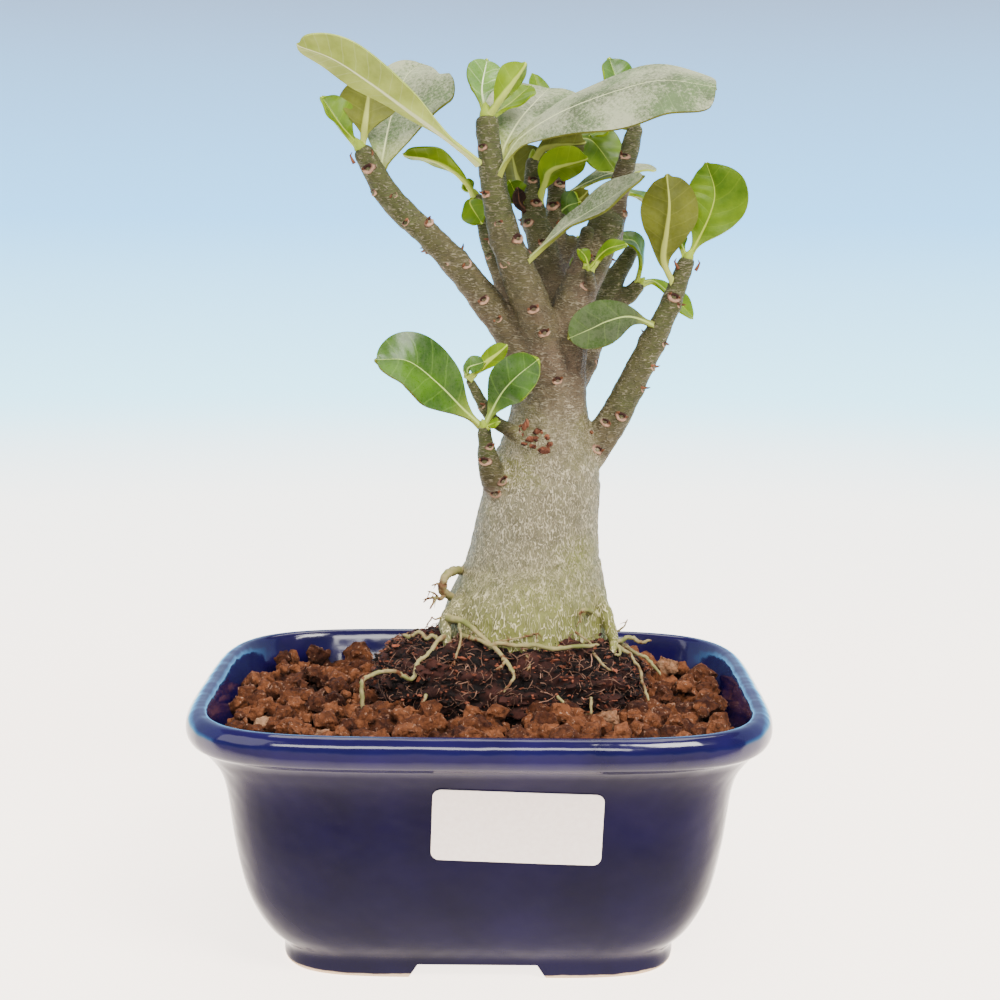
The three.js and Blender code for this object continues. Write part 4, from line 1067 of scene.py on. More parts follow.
TRUNK_Y = 14
TRUNK_LEVELS = [
    (11.5, 38, 4), (11.5, 47, 10), (11.5, 57, 17), (11.6, 66, 22), (11.8, 73, 23.4), (12, 80, 23),
    (12.4, 86.7, 21.6), (13.4, 92.6, 19.7), (14, 98.4, 18), (14.8, 105.5, 16.9), (15.7, 113, 16.2),
    (16.6, 120, 15.1), (17.3, 126.7, 13.3), (17.8, 133.5, 11.3), (18.2, 140, 10), (18.8, 147, 9),
    (19, 153, 6),
]
# Branches as points along the middle with the radius there
BRANCHES = {
    "front": [(18.6, 12, 141, 8.4), (15.4, 8, 158.2, 5.6), (10.4, 4, 172.1, 4.9), (5.6, 1, 184.3, 4.2),
              (2.6, -1, 196.8, 3.5), (0.7, -2, 213.5, 3)],
    "left": [(14.5, 12, 146, 6.6), (7.4, 10, 158.3, 4.8), (-7, 4, 176.6, 3.7), (-15.5, 1, 185.4, 3.4),
             (-24, -1, 193.5, 3.3), (-31, -3, 205.4, 2.6)],
    "middle": [(19.5, 17, 148, 7.5), (19, 19, 165, 5.8), (16, 22, 180.5, 4.4), (13.2, 23, 191.2, 3.4),
               (13.1, 24.5, 204.5, 2)],
    "middle_right": [(18.5, 20, 168, 4.6), (19.6, 26, 183.2, 3.1), (19.5, 28, 192.7, 2.8),
                     (20, 30, 202.2, 2.3)],
    "dark_stub": [(19, 22, 175, 2.8), (24.3, 28, 183, 2.2)],
    "thick": [(20, 13, 148, 7.4), (24, 12, 166.1, 5.5), (27.6, 12.2, 175, 5.1), (30.5, 13, 182, 5),
              (33, 14, 188.4, 4.9)],
    "thick_leader": [(33.4, 16, 183, 3.8), (35.8, 16.4, 195.3, 3), (38.6, 18, 205.9, 2.6),
                     (40.2, 19, 213, 2.2)],
    "rough_stub": [(26.1, 10.5, 177.6, 2.7), (27.4, 6.6, 186, 1.8)],
    "tiny_shoot": [(28.8, 8, 170.5, 1.5), (27.6, 3, 175.6, 1.1)],
    "hooked": [(21, 18, 142.5, 6.2), (28.6, 24, 153.3, 3.9), (32.6, 28, 163.5, 3.5), (35.7, 31, 171.7, 2.9),
               (41, 34, 180.3, 2.1)],
    "hooked_side": [(32.6, 28, 163, 2.9), (37.1, 30, 166.8, 2.5), (40.2, 31, 168.2, 2.3),
                    (42.7, 31, 171, 1.8)],
    "right": [(23, 14, 119.8, 5.6), (30.4, 13, 127.9, 4.7), (36.2, 12, 137.4, 4.1), (41.9, 11, 149.4, 3.7),
              (47.2, 10, 160.5, 3.2), (53.8, 8, 178, 2.3)],
    "left_stub": [(10, 11, 111, 5.6), (4.6, 6, 118.2, 4.4), (1.9, 2, 124.2, 3.1), (0.4, -1, 134, 1.8)],
    "thin_stub": [(13, 10, 128.5, 2.6), (8, 5.4, 132.4, 2.1), (2.5, 2, 136.5, 1.7), (-3.4, 2, 146.4, 1.1)],
    "rear_left": [(13, 16, 156, 5.4), (5.7, 20, 171, 3.1), (1.8, 22, 180.4, 2.3), (-2.1, 24, 194.4, 1.6)],
}
# Roots in the same form: first the ones that swell out of the trunk and are smoothed into it
THICK_ROOTS = [
    [(-4.6, 6, 86, 3.4), (-9.4, -1, 82.2, 1.9), (-9.3, -4, 79.3, 1.5), (-8.9, -5.5, 76.4, 1.2),
     (-8.6, -5.6, 72, 0.9)],
    [(27, 7, 92, 4.2), (31.6, 5, 86.6, 2.5), (33.6, 4, 83.4, 2.1), (35, 2, 79.4, 1.6), (35.7, 0, 76.8, 1.2),
     (35.2, -2.6, 74, 0.9)],
    [(18, 33, 81, 2.6), (22, 40, 76, 1.4), (23, 47, 70, 0.8)],
    [(-2, 28, 80, 2.2), (-9, 36, 76, 1.2), (-14, 42, 69, 0.8)],
    [(11.5, 14, 52, 6), (3, 4, 42, 3.4), (-6, -2, 32, 1.6)],
    [(11.5, 14, 52, 6), (22, 8, 41, 3.4), (28, -2, 30, 1.6)],
    [(11.5, 14, 52, 6), (14, 26, 40, 3.4), (10, 34, 28, 1.6)],
]
# Green and tan roots that run over the peat and hang off it
SURFACE_ROOTS = [
    [(-9.1, -2.6, 83.4, 1.1), (-5, -5, 83.1, 0.9), (-2.1, -7, 81.4, 0.72), (1.4, -9.6, 79, 0.65),
     (4.1, -12, 77.2, 0.6),
     (5.5, -14.6, 76, 0.6), (6.7, -16, 74.7, 0.55), (8.4, -18.4, 72.9, 0.5), (8.8, -19, 71.5, 0.42),
     (7.7, -20.4, 70, 0.36), (6.1, -21.2, 68, 0.3)],
    [(6.4, -16, 74.7, 0.45), (5.4, -17.4, 73.7, 0.4), (4.1, -18, 73, 0.3)],
    [(-9.3, -5, 79.1, 0.75), (-11.3, -7, 78.1, 0.6), (-12.9, -10.4, 76.4, 0.55), (-14.5, -12.4, 75.1, 0.55),
     (-16, -13.6, 74.3, 0.55), (-16.8, -15, 73, 0.55), (-17.1, -16.4, 71, 0.55), (-18.1, -17.4, 70.2, 0.55),
     (-19.7, -18.4, 71.2, 0.55), (-22, -19.4, 72.7, 0.55), (-25.4, -20.4, 72.9, 0.55),
     (-28.2, -21.4, 72.1, 0.55),
     (-29.8, -22, 71.4, 0.6), (-30.4, -22.6, 70.1, 0.55), (-30.3, -23, 67.6, 0.55), (-30.1, -23, 63, 0.5)],
    [(-9.3, -4.6, 78.6, 0.8), (-11.4, -4, 77.9, 0.65), (-12.8, -3.4, 78.7, 0.55), (-14.4, -3.4, 77.8, 0.6),
     (-15.5, -2.6, 78.9, 0.55), (-16.9, -2, 79.3, 0.5), (-18.3, -1.6, 78.3, 0.5), (-19.8, -1, 77.8, 0.5),
     (-20.9, -0.6, 78.6, 0.4)],
    [(-4.8, -4.6, 79.3, 0.7), (-2.6, -7, 79, 0.65), (-0.5, -8.6, 78.8, 0.6), (2.5, -11, 78, 0.6),
     (4.8, -11.4, 78.7, 0.6),
     (6.7, -11.4, 78.4, 0.65), (10.1, -12, 78.1, 0.6), (12.9, -12.2, 78.4, 0.6), (15.6, -12.4, 78.2, 0.6),
     (18.2, -12.6, 77.5, 0.65), (22.1, -12, 77.7, 0.6), (25.4, -11, 77.9, 0.55), (28.8, -9.6, 77.6, 0.5),
     (31.4, -7.4, 77.6, 0.5)],
    [(-4, 13, 92.6, 1.3), (-5.8, 10, 93.9, 1.25), (-7.5, 6, 94.6, 1.2), (-9.2, 3, 94.2, 1.2),
     (-10.1, 2, 92.8, 1.2),
     (-10.5, 2, 91.1, 1.2), (-10.1, 3, 89.3, 1.15), (-7.6, 7, 87, 1.1)],
    [(-10.5, 2, 91.8, 0.4), (-11.9, 1, 91.9, 0.28), (-13.2, 0, 91.6, 0.2)],
    [(-9.6, 3.4, 88.7, 0.7), (-11.1, 1, 87.8, 0.5), (-12.1, 0, 88.4, 0.42), (-13.4, -1, 88.4, 0.34),
     (-14.7, -1.6, 88.3, 0.28), (-15.3, -2, 87.5, 0.2)],
    [(-12.1, 0, 88.1, 0.34), (-13, -1, 86.8, 0.28), (-13.7, -1.6, 85.6, 0.2)],
    [(-11.7, 0, 88.6, 0.34), (-12.6, -1, 89.8, 0.26), (-14.3, -2, 90.5, 0.16)],
    [(34.8, -0.8, 76.4, 0.8), (36.5, -0.4, 76.8, 0.65), (37.9, 0, 77.1, 0.6), (39.4, 0.6, 77.7, 0.6),
     (40.9, 1, 77.5, 0.6), (42.5, 1, 76.4, 0.55), (43.8, 0.6, 76.5, 0.45), (45.7, 0, 77.2, 0.35)],
    [(34.6, -1, 76.5, 0.8), (37.6, -1, 75, 0.6), (40, -1, 73.5, 0.5), (41, -2, 71.9, 0.45),
     (42.6, -3.6, 69.8, 0.42),
     (43.1, -6, 67, 0.4), (43.9, -8, 64.8, 0.38), (45.2, -9, 61, 0.3)],
    [(34.8, 2, 77.6, 0.8), (38.4, 2.6, 75.2, 0.55), (41.4, 3, 73.1, 0.5), (43.7, 3.4, 72, 0.5),
     (45.1, 3, 71.2, 0.48),
     (46.4, 2.6, 69.9, 0.45), (48.7, 2, 67, 0.4)],
    [(34.5, 1.4, 79.2, 0.5), (36.8, 1, 79.4, 0.3), (37.6, 0.6, 80, 0.26), (38.6, 0, 81.2, 0.22),
     (39.3, -0.6, 83, 0.14)],
    [(35.2, -0.6, 76.4, 0.6), (36.8, -1, 75.7, 0.5), (37.2, -2, 74.8, 0.45), (36.9, -3, 73.7, 0.4),
     (35.5, -3.6, 74.1, 0.3)],
    [(28.4, 1, 84.4, 0.7), (29.3, -2, 84.9, 0.65), (28.7, -3.6, 86, 0.6), (27.3, -4.6, 86.2, 0.55),
     (26.2, -5, 85.5, 0.45), (26.4, -5.2, 84.2, 0.4), (26.4, -5.4, 82.9, 0.3)],
    [(-5.8, -5.4, 82.4, 0.5), (-5.5, -6.4, 81, 0.38), (-5.2, -7.6, 79.2, 0.36), (-5.7, -11, 77.3, 0.34),
     (-6.6, -15, 74.9, 0.3), (-6.8, -16.2, 73.8, 0.24)],
    [(10.9, -12, 77.4, 0.3), (11.9, -14.6, 76.3, 0.26), (12.7, -16, 75, 0.24), (12.7, -17.6, 73.7, 0.22),
     (11, -19, 71.8, 0.18)],
    [(4.8, -10.6, 79, 0.3), (8.2, -10.8, 79.6, 0.24), (10.9, -10.8, 80.1, 0.22), (13.5, -10.6, 80.7, 0.2),
     (15.3, -10.4, 81.2, 0.15)],
    [(25, -5.6, 80.6, 0.3), (27.6, -7.4, 79, 0.26), (28.9, -8, 78.2, 0.24), (30.2, -9, 77.2, 0.2)],
    [(28.6, -8.4, 77, 0.4), (30.6, -10.8, 74.8, 0.36), (32.9, -12.6, 72.6, 0.32),
     (34.5, -12.4, 71.7, 0.26)],
    [(-10.4, -1, 83.3, 0.3), (-12.3, -3, 83.1, 0.22), (-13.1, -3.6, 83.8, 0.2), (-13.6, -4, 82.8, 0.18),
     (-14.6, -4.4, 81.8, 0.14)],
    [(-14, -19, 66.6, 0.5), (-14.5, -20, 65.4, 0.45), (-14.8, -21, 64.1, 0.42), (-14.9, -21.6, 61.5, 0.35)],
    [(20, -21, 67, 0.4), (20.9, -22, 66.2, 0.36), (21.7, -22.6, 65.6, 0.34), (22.7, -23.4, 63, 0.3)],
    [(28.8, -18.4, 66, 0.4), (28.8, -19.6, 63.8, 0.36), (28.8, -20, 61.4, 0.3)],
]


# How deep the base is fluted, and how far all of the trunk is from round, as shares of its radius
FLUTE = 0.035
WAVER = 0.012


def swollen_trunk():
    """The trunk as rings of points, fluted low down."""
    levels = smooth_path(TRUNK_LEVELS, 6)
    trunk = flat_grid(96, len(levels) - 1)
    rows = []
    for vert in trunk.data.vertices:
        x, z, radius = levels[round((vert.co.y + 1) / 2 * (len(levels) - 1))]
        angle = (vert.co.x + 1) * math.pi
        spread = min(1, max(0, (110 - z) / 40))
        flute = FLUTE * spread * math.sin(3 * angle + 0.6) + WAVER * math.sin(5 * angle + z * 0.03)
        r = radius * (1 + flute)
        rows.append((x + r * math.cos(angle), TRUNK_Y + r * math.sin(angle), z))
    move_points(trunk, rows)
    close_tube(trunk)
    return trunk


def trunk_at(z):
    """Middle and radius of the trunk at a height."""
    xs, heights, radii = np.array(TRUNK_LEVELS, float).T
    return np.interp(z, heights, xs), np.interp(z, heights, radii)


def rounded_end(path):
    """A branch's path carried on a little way and narrowed, so that its tip is rounded off."""
    end, before = path[-1], path[-2]
    along = (end[:3] - before[:3]) / np.linalg.norm(end[:3] - before[:3])
    radius = end[3]
    tips = [(*(end[:3] + along * radius * reach), radius * share)
            for reach, share in ((0.3, 0.84), (0.5, 0.5))]
    return np.vstack([path, tips])


# Creases across the trunk where growth paused: height, rise towards +X, and depth in millimetres
CREASES = [(96.3, 0.05, 0.3), (118.4, 0.02, 0.34), (128, 0.02, 0.3), (143, 0.42, 0.4)]
# Rusty torn bark round the old scars on the trunk's front
TORN_BARK = (14.2, -1.5, 131.4)


def build_trunk(settings):
    """Trunk, branches and thick roots fused, smoothed where they meet, and given their creases."""
    branches = [rounded_end(smooth_path(path, 8)) for path in BRANCHES.values()]
    stems = strands("stems", branches + [smooth_path(path, 8) for path in THICK_ROOTS], 6)
    trunk = fused([swollen_trunk(), stems], settings.voxel)
    apply_modifier(trunk, "SMOOTH", factor=0.5, iterations=4)
    rows = points_of(trunk)
    normals = normals_of(trunk)
    shift = 0.3 * roughness_on(rows, 9, 3) + 0.2 * roughness_on(rows, 2.4, 3, 11)
    spots = scar_spots(random.Random(SCAR_SEED))
    cushions = tree_of([point + out * radius - along * 0.9 for point, out, along, radius, _ in spots])
    reaches = np.array([cushions.find(row)[2] for row in rows])
    shift += SCAR_SWELLING * np.exp(-(reaches / 1.7) ** 2)
    middles, radii = trunk_at(rows[:, 2])
    outside = np.hypot(rows[:, 0] - middles, rows[:, 1] - TRUNK_Y) - radii
    on_trunk = (outside < 3) & (rows[:, 2] < 146)
    for height, slope, depth in CREASES:
        away = rows[:, 2] - height - slope * (rows[:, 0] - 14) + 1.2 * roughness_on(rows, 11, 2, height)
        shift += on_trunk * depth * (0.6 * np.exp(-((away + 1.2) / 1.1) ** 2) - np.exp(-(away / 0.7) ** 2))
    across = np.abs(rows[:, 0] - HEALED_CUT[0])
    away = rows[:, 2] - HEALED_CUT[1] - CUT_CURVE * across ** 2
    in_cut = (across < CUT_REACH) & (rows[:, 1] < 14) & (np.abs(away) < 3)
    shift += in_cut * (0.45 * np.exp(-((away + 1) / 0.8) ** 2) - 0.6 * np.exp(-(away / 0.5) ** 2))
    low = np.clip((100 - rows[:, 2]) / 14, 0, 1) * (outside < 3)
    angles = np.arctan2(rows[:, 1] - TRUNK_Y, rows[:, 0] - middles)
    furrows = np.stack([angles * 9, rows[:, 2] * 0.16, np.zeros(len(rows))], 1)
    shift += low * 0.22 * roughness_on(furrows, 1.0, 2, 3)
    move_points(trunk, rows + normals * shift[:, None])
    tree, youths = branch_tree()
    green = np.array([youths[tree.find(row)[1]] for row in rows])
    base = np.clip((101 - rows[:, 2]) / 24, 0, 1) * np.clip((rows[:, 0] + 14) / 16, 0.45, 1)
    right_patch = 0.55 * np.exp(-((rows[:, 0] - 27) / 8) ** 2 - ((rows[:, 2] - 100) / 5) ** 2)
    green = np.where(rows[:, 2] < 118, 0.05 + 0.75 * base + right_patch, green)
    rust = np.zeros(len(rows))
    for i, row in enumerate(rows):
        distance = (Vector(row) - Vector(TORN_BARK)).length
        if distance < 5:
            rust[i] = max(0, 1 - distance / 4) * (0.5 + 0.7 * roughness_at(row, 1.6, 2))
    upper = np.clip((rows[:, 2] - 118) / 30, 0, 1)
    mark(trunk, "green", green)
    mark(trunk, "coarse", np.clip((104 - rows[:, 2]) / 20, 0, 1))
    mark(trunk, "young", np.maximum(upper, np.clip(outside / 3, 0, 1) * (rows[:, 2] > 104)))
    mark(trunk, "rust", np.clip(rust * 1.3, 0, 1))
    smooth(trunk)
    return finish_piece(trunk, "swollen_trunk", "bark", [caudex_bark(settings)], "trunk")


def branch_tree():
    """Finds the nearest branch to a place, and how green its bark is there."""
    places = []
    youths = []
    for path in BRANCHES.values():
        reach = 1.0 if len(path) > 2 else 0.6
        rows = smooth_path(path, 8)
        for i, row in enumerate(rows):
            places.append(row[:3])
            youths.append(0.12 + 0.8 * reach * (i / (len(rows) - 1)) ** 1.3)
    return tree_of(places), youths


# Short hair roots, as many as this, on random surface roots
HAIR_ROOTS = 46


def build_roots():
    """Surface roots, knobbly and green-tan, with hair roots on them."""
    draw = random.Random(23)
    paths = []
    for root in SURFACE_ROOTS:
        path = smooth_path(root, 4)
        thick = min(1.0, root[0][3] / 0.7)
        path[:, :3] += np.array([[draw.uniform(-0.16, 0.16) * thick for _ in range(3)] for _ in path])
        path[:, 3] *= np.array([draw.uniform(0.86, 1.16) for _ in path])
        path[-1, 3] *= 0.5
        paths.append(path)
    for _ in range(HAIR_ROOTS):
        root = paths[draw.randrange(len(SURFACE_ROOTS))]
        start = root[draw.randrange(2, len(root))]
        lean = Vector((draw.uniform(-1, 1), draw.uniform(-1, 0.3), draw.uniform(-0.9, 0.5))).normalized()
        length = draw.uniform(0.8, 2.6)
        curl = Vector((draw.uniform(-0.4, 0.4), draw.uniform(-0.4, 0.4), -0.4)) * length
        hair = []
        for k in range(5):
            t = k / 4
            point = Vector(start[:3]) + lean * length * t + curl * t * t
            hair.append((*point, 0.17 * (1 - 0.75 * t)))
        paths.append(np.array(hair))
    roots = strands("surface_roots", paths, 2)
    rows = points_of(roots)
    nodes = np.vstack(paths)
    tree = tree_of(nodes[:, :3])
    # Thin roots are browner than thick ones
    thin = np.array([max(0.0, 1 - nodes[tree.find(row)[1]][3] / 0.45) for row in rows])
    mark(roots, "tone", np.clip(0.12 + 0.4 * roughness_on(rows, 4, 3) + 0.6 * thin, -0.2, 0.75))
    smooth(roots)
    skin = plain_skin("young_root_skin", "#6b6e37", "#5f3820", 0.65, 1.6, "#94875a")
    return finish_piece(roots, "surface_roots", "bark", [skin], "trunk")


# Leaf scars listed where they show: across and up as seen from the front, for each branch
SCARS = {
    "front": [(-0.5, 206.7), (0.4, 195.2), (3.7, 187.9), (8.7, 184.1), (5.4, 177.6), (12.8, 166.5),
              (15.7, 160.6), (19.6, 148)],
    "left": [(-29.6, 201.3), (-28.9, 195.2), (-23.2, 194.7), (-20.5, 187.9), (-14.3, 188), (-10.5, 177.2),
             (-4.8, 177.5),
             (-0.3, 168.1), (3.4, 163)],
    "right": [(28.8, 132.3), (33.1, 135.3), (37.3, 137), (31, 127.8), (43.3, 143.9), (46.4, 149.5),
              (48.6, 156), (54.1, 165.8),
              (50.6, 169)],
    "left_stub": [(2, 130), (0.6, 126.4), (4.6, 121.6), (2.6, 118)],
    "middle": [(13, 199), (14, 193), (12, 187.4), (16, 182)],
    "middle_right": [(20.4, 198), (18.6, 192), (20.8, 187)],
    "thick": [(29, 178), (33, 181), (27, 171)],
}
# Behind, and on the other branches, scars follow the golden angle at this distance along the branch
SCAR_SPACING = 6.4
SCAR_RADIUS = 1.42
SCAR_SWELLING = 0.5
SCAR_SEED = 41
SCAR_POINTS = 12
# Rusty lumps of torn bark on the trunk's front: across, up, and how far each reaches across and up
TORN_LUMPS = [
    (11.6, 134.2, 0.7, 1.8), (14.9, 132.8, 1.5, 1.1), (17.4, 131.5, 0.8, 0.8), (12.6, 131, 1.5, 0.8),
    (15.8, 128.4, 2.1, 1.0), (13.5, 129.2, 1.2, 0.7), (17.6, 129.5, 0.9, 0.9), (10.4, 132, 0.8, 1.2),
    (14.2, 131.1, 1.0, 0.7), (11.2, 129.6, 0.8, 0.5),
]
# A healed cut: where its low point shows on the thick branch, half its width, and how much its ends rise
HEALED_CUT = (33.2, 184.8)
CUT_REACH = 3.4
CUT_CURVE = 0.19
# The large dry hooks beside two shoot tips, and the way each leans
STIPULES = [((-33.2, -4, 202.4), -1), ((-29.4, -4.2, 203.2), 1), ((51.4, 6.6, 176), -1),
            ((56, 6.6, 175.6), 1)]


def branch_spot(path, share, degrees):
    """A place on a branch's bark: its point on the middle, the way out, the way along and the radius."""
    rows = smooth_path(path, 8)
    (point, ahead, behind), _ = along_path(rows, [share, min(1, share + 0.02), max(0, share - 0.02)])
    along = Vector(ahead[:3] - behind[:3]).normalized()
    front = Vector((0, -1, 0))
    front = (front - along * front.dot(along)).normalized()
    out = Matrix.Rotation(math.radians(degrees), 3, along) @ front
    return Vector(point[:3]), out, along, point[3]


def seen_spot(path, x, z):
    """The place on the front of a branch that shows at this distance across and up."""
    rows = smooth_path(path, 24)
    nearest = int(np.argmin(np.hypot(rows[:, 0] - x, rows[:, 2] - z)))
    share = nearest / (len(rows) - 1)
    steps = np.linalg.norm(np.diff(rows[:, :3], axis=0), axis=1)
    share = steps[:nearest].sum() / steps.sum()
    point, out, along, radius = branch_spot(path, share, 0)
    side = out.cross(along)
    offset = Vector((x, point.y, z)) - point
    lean = max(-0.85, min(0.85, offset.dot(side) / radius))
    return point, (out * math.sqrt(1 - lean * lean) + side * lean).normalized(), along, radius


def scar_points(point, out, along, radius, size, draw):
    """A raised crescent pad with a small sunken heart near its top, as rings round the way out."""
    side = along.cross(out)
    centre = point + out * (radius - 0.25)
    rows = []
    tones = []
    # Each ring's reach and lift, its tone low down and how much that rises at the top
    for reach, lift, base, gain in ((1.25, -0.1, 0.42, 0), (1.0, 0.3, 0, 0.5), (0.62, 0.42, 0.1, 0.7),
                                    (0.36, 0.2, 0.4, 0.6)):
        for k in range(SCAR_POINTS):
            angle = math.tau * k / SCAR_POINTS
            low = max(0, -math.sin(angle))
            stretch = size * reach * (1 + 0.14 * draw.uniform(-1, 1))
            rise = (lift + 0.3 * low * (reach > 0.5)) * size
            spot = centre + side * math.cos(angle) * stretch
            spot += along * (math.sin(angle) * 0.7 + 0.16 * (reach < 0.5)) * stretch + out * rise
            rows.append(spot)
            upper = max(0, math.sin(angle) + 0.25)
            tones.append(base + gain * upper)
    rows.append(centre + out * 0.06 * size + along * 0.1 * size)
    tones.append(1.0)
    return rows, tones


def scar_spots(draw):
    """Every leaf scar's place on the bark, with its size."""
    spots = []
    for name, path in BRANCHES.items():
        for x, z in SCARS.get(name, []):
            spots.append((*seen_spot(path, x, z), SCAR_RADIUS * draw.uniform(0.72, 1.18)))
        _, length = along_path(smooth_path(path, 8), [0])
        count = int(length * 0.72 / SCAR_SPACING)
        for i in range(count):
            degrees = (math.degrees(GOLDEN_ANGLE) * i + 60) % 360
            hidden = 75 < degrees < 285
            if hidden or name not in SCARS:
                spot = branch_spot(path, 0.26 + 0.7 * i / max(1, count), degrees)
                spots.append((*spot, SCAR_RADIUS * min(1, 0.45 + spot[3] / 6) * draw.uniform(0.8, 1.05)))
    return spots


def build_torn_bark():
    """Rusty lumps where bark tore on the trunk's front."""
    draw = random.Random(SCAR_SEED + 1)
    lumps = []
    tones = []
    for x, z, reach_x, reach_z in TORN_LUMPS:
        middle, radius = trunk_at(z)
        lean = (x - middle) / radius
        front = TRUNK_Y - radius * math.sqrt(1 - lean * lean)
        for _ in range(4):
            size = draw.uniform(0.6, 1.0)
            centre = (x + reach_x * draw.uniform(-0.5, 0.5), front + draw.uniform(-0.2, 0.3),
                      z + reach_z * draw.uniform(-0.5, 0.5))
            lumps.append(chip(centre, (reach_x * size, 0.9, reach_z * size), 14, 0.3, draw))
            tones += [draw.uniform(0.0, 0.6)] * len(lumps[-1][0])
    piece = gather("torn_bark", lumps)
    mark(piece, "tone", tones)
    return finish_piece(
        piece, "torn_bark", "bark", [plain_skin("torn_cork", "#8f583e", "#35170e", 0.85, 1.0)], "trunk")


def build_scars():
    """Leaf scars on the bark, and the dry hooks beside them."""
    draw = random.Random(SCAR_SEED)
    pads = []
    tones = []
    hooks = []
    rounds = [(k, (k + 1) % SCAR_POINTS) for k in range(SCAR_POINTS)]
    inner = 3 * SCAR_POINTS
    faces = [(a + ring, b + ring, b + ring + SCAR_POINTS, a + ring + SCAR_POINTS)
             for ring in range(0, inner, SCAR_POINTS) for a, b in rounds]
    faces += [(inner + a, inner + b, inner + SCAR_POINTS) for a, b in rounds]
    faces.append(tuple(reversed(range(SCAR_POINTS))))
    for point, out, along, radius, size in scar_spots(draw):
        rows, shades = scar_points(point, out, along, radius, size, draw)
        pads.append(([tuple(row * MM) for row in rows], faces))
        tones += shades
        side = along.cross(out)
        for hand in (-1, 1):
            if draw.random() < 0.6:
                base = point + out * (radius - 0.2) + side * hand * size * 0.85 + along * size * 0.3
                tip = base + out * draw.uniform(0.8, 1.7) + along * draw.uniform(0.1, 1.0)
                middle = (base + tip) / 2 + out * 0.25
                hooks.append([(*base, 0.42), (*middle, 0.26), (*tip, 0.06)])
    scars = gather("leaf_scars", pads)
    mark(scars, "tone", tones)
    edit_all(scars)
    end_edit()
    smooth(scars)
    cork = plain_skin("leaf_scar_cork", "#c69a7c", "#2a1007", 0.8)
    finish_piece(scars, "leaf_scars", "bark", [cork], "trunk")
    for place, hand in STIPULES:
        base = Vector(place)
        bends = [(0, 0, 0, 0.5), (0.5 * hand, -0.2, 0.9, 0.42), (1.0 * hand, -0.3, 2.0, 0.26),
                 (0.5 * hand, -0.3, 2.9, 0.06)]
        hooks.append([(*(base + Vector(bend[:3])), bend[3]) for bend in bends])
    dry = strands("dry_hooks", hooks, 1)
    rows = points_of(dry)
    mark(dry, "tone", np.clip(0.2 + 0.4 * roughness_on(rows, 2, 1), 0, 0.6))
    smooth(dry)
    skin = plain_skin("dried_stipules", "#33190f", "#8a5638", 0.8)
    return finish_piece(dry, "dry_hooks", "bark", [skin], "trunk")


# Leaves

YOUNG = ("young_upper", "fresh_under")
GLOSSY = ("glossy_upper", "fresh_under")
OLIVE = ("glossy_upper", "olive_under")
DUSTY = ("dusty_upper", "olive_under")


def blade(looks, width, face, fold, *rib, belly=1.75, point=0.45, skew=0):
    """A leaf's two looks, its width, the way it faces, its fold in degrees and its midrib's points."""
    return {"looks": looks, "width": width, "face": face, "fold": fold, "rib": rib, "belly": belly,
            "point": point, "skew": skew}


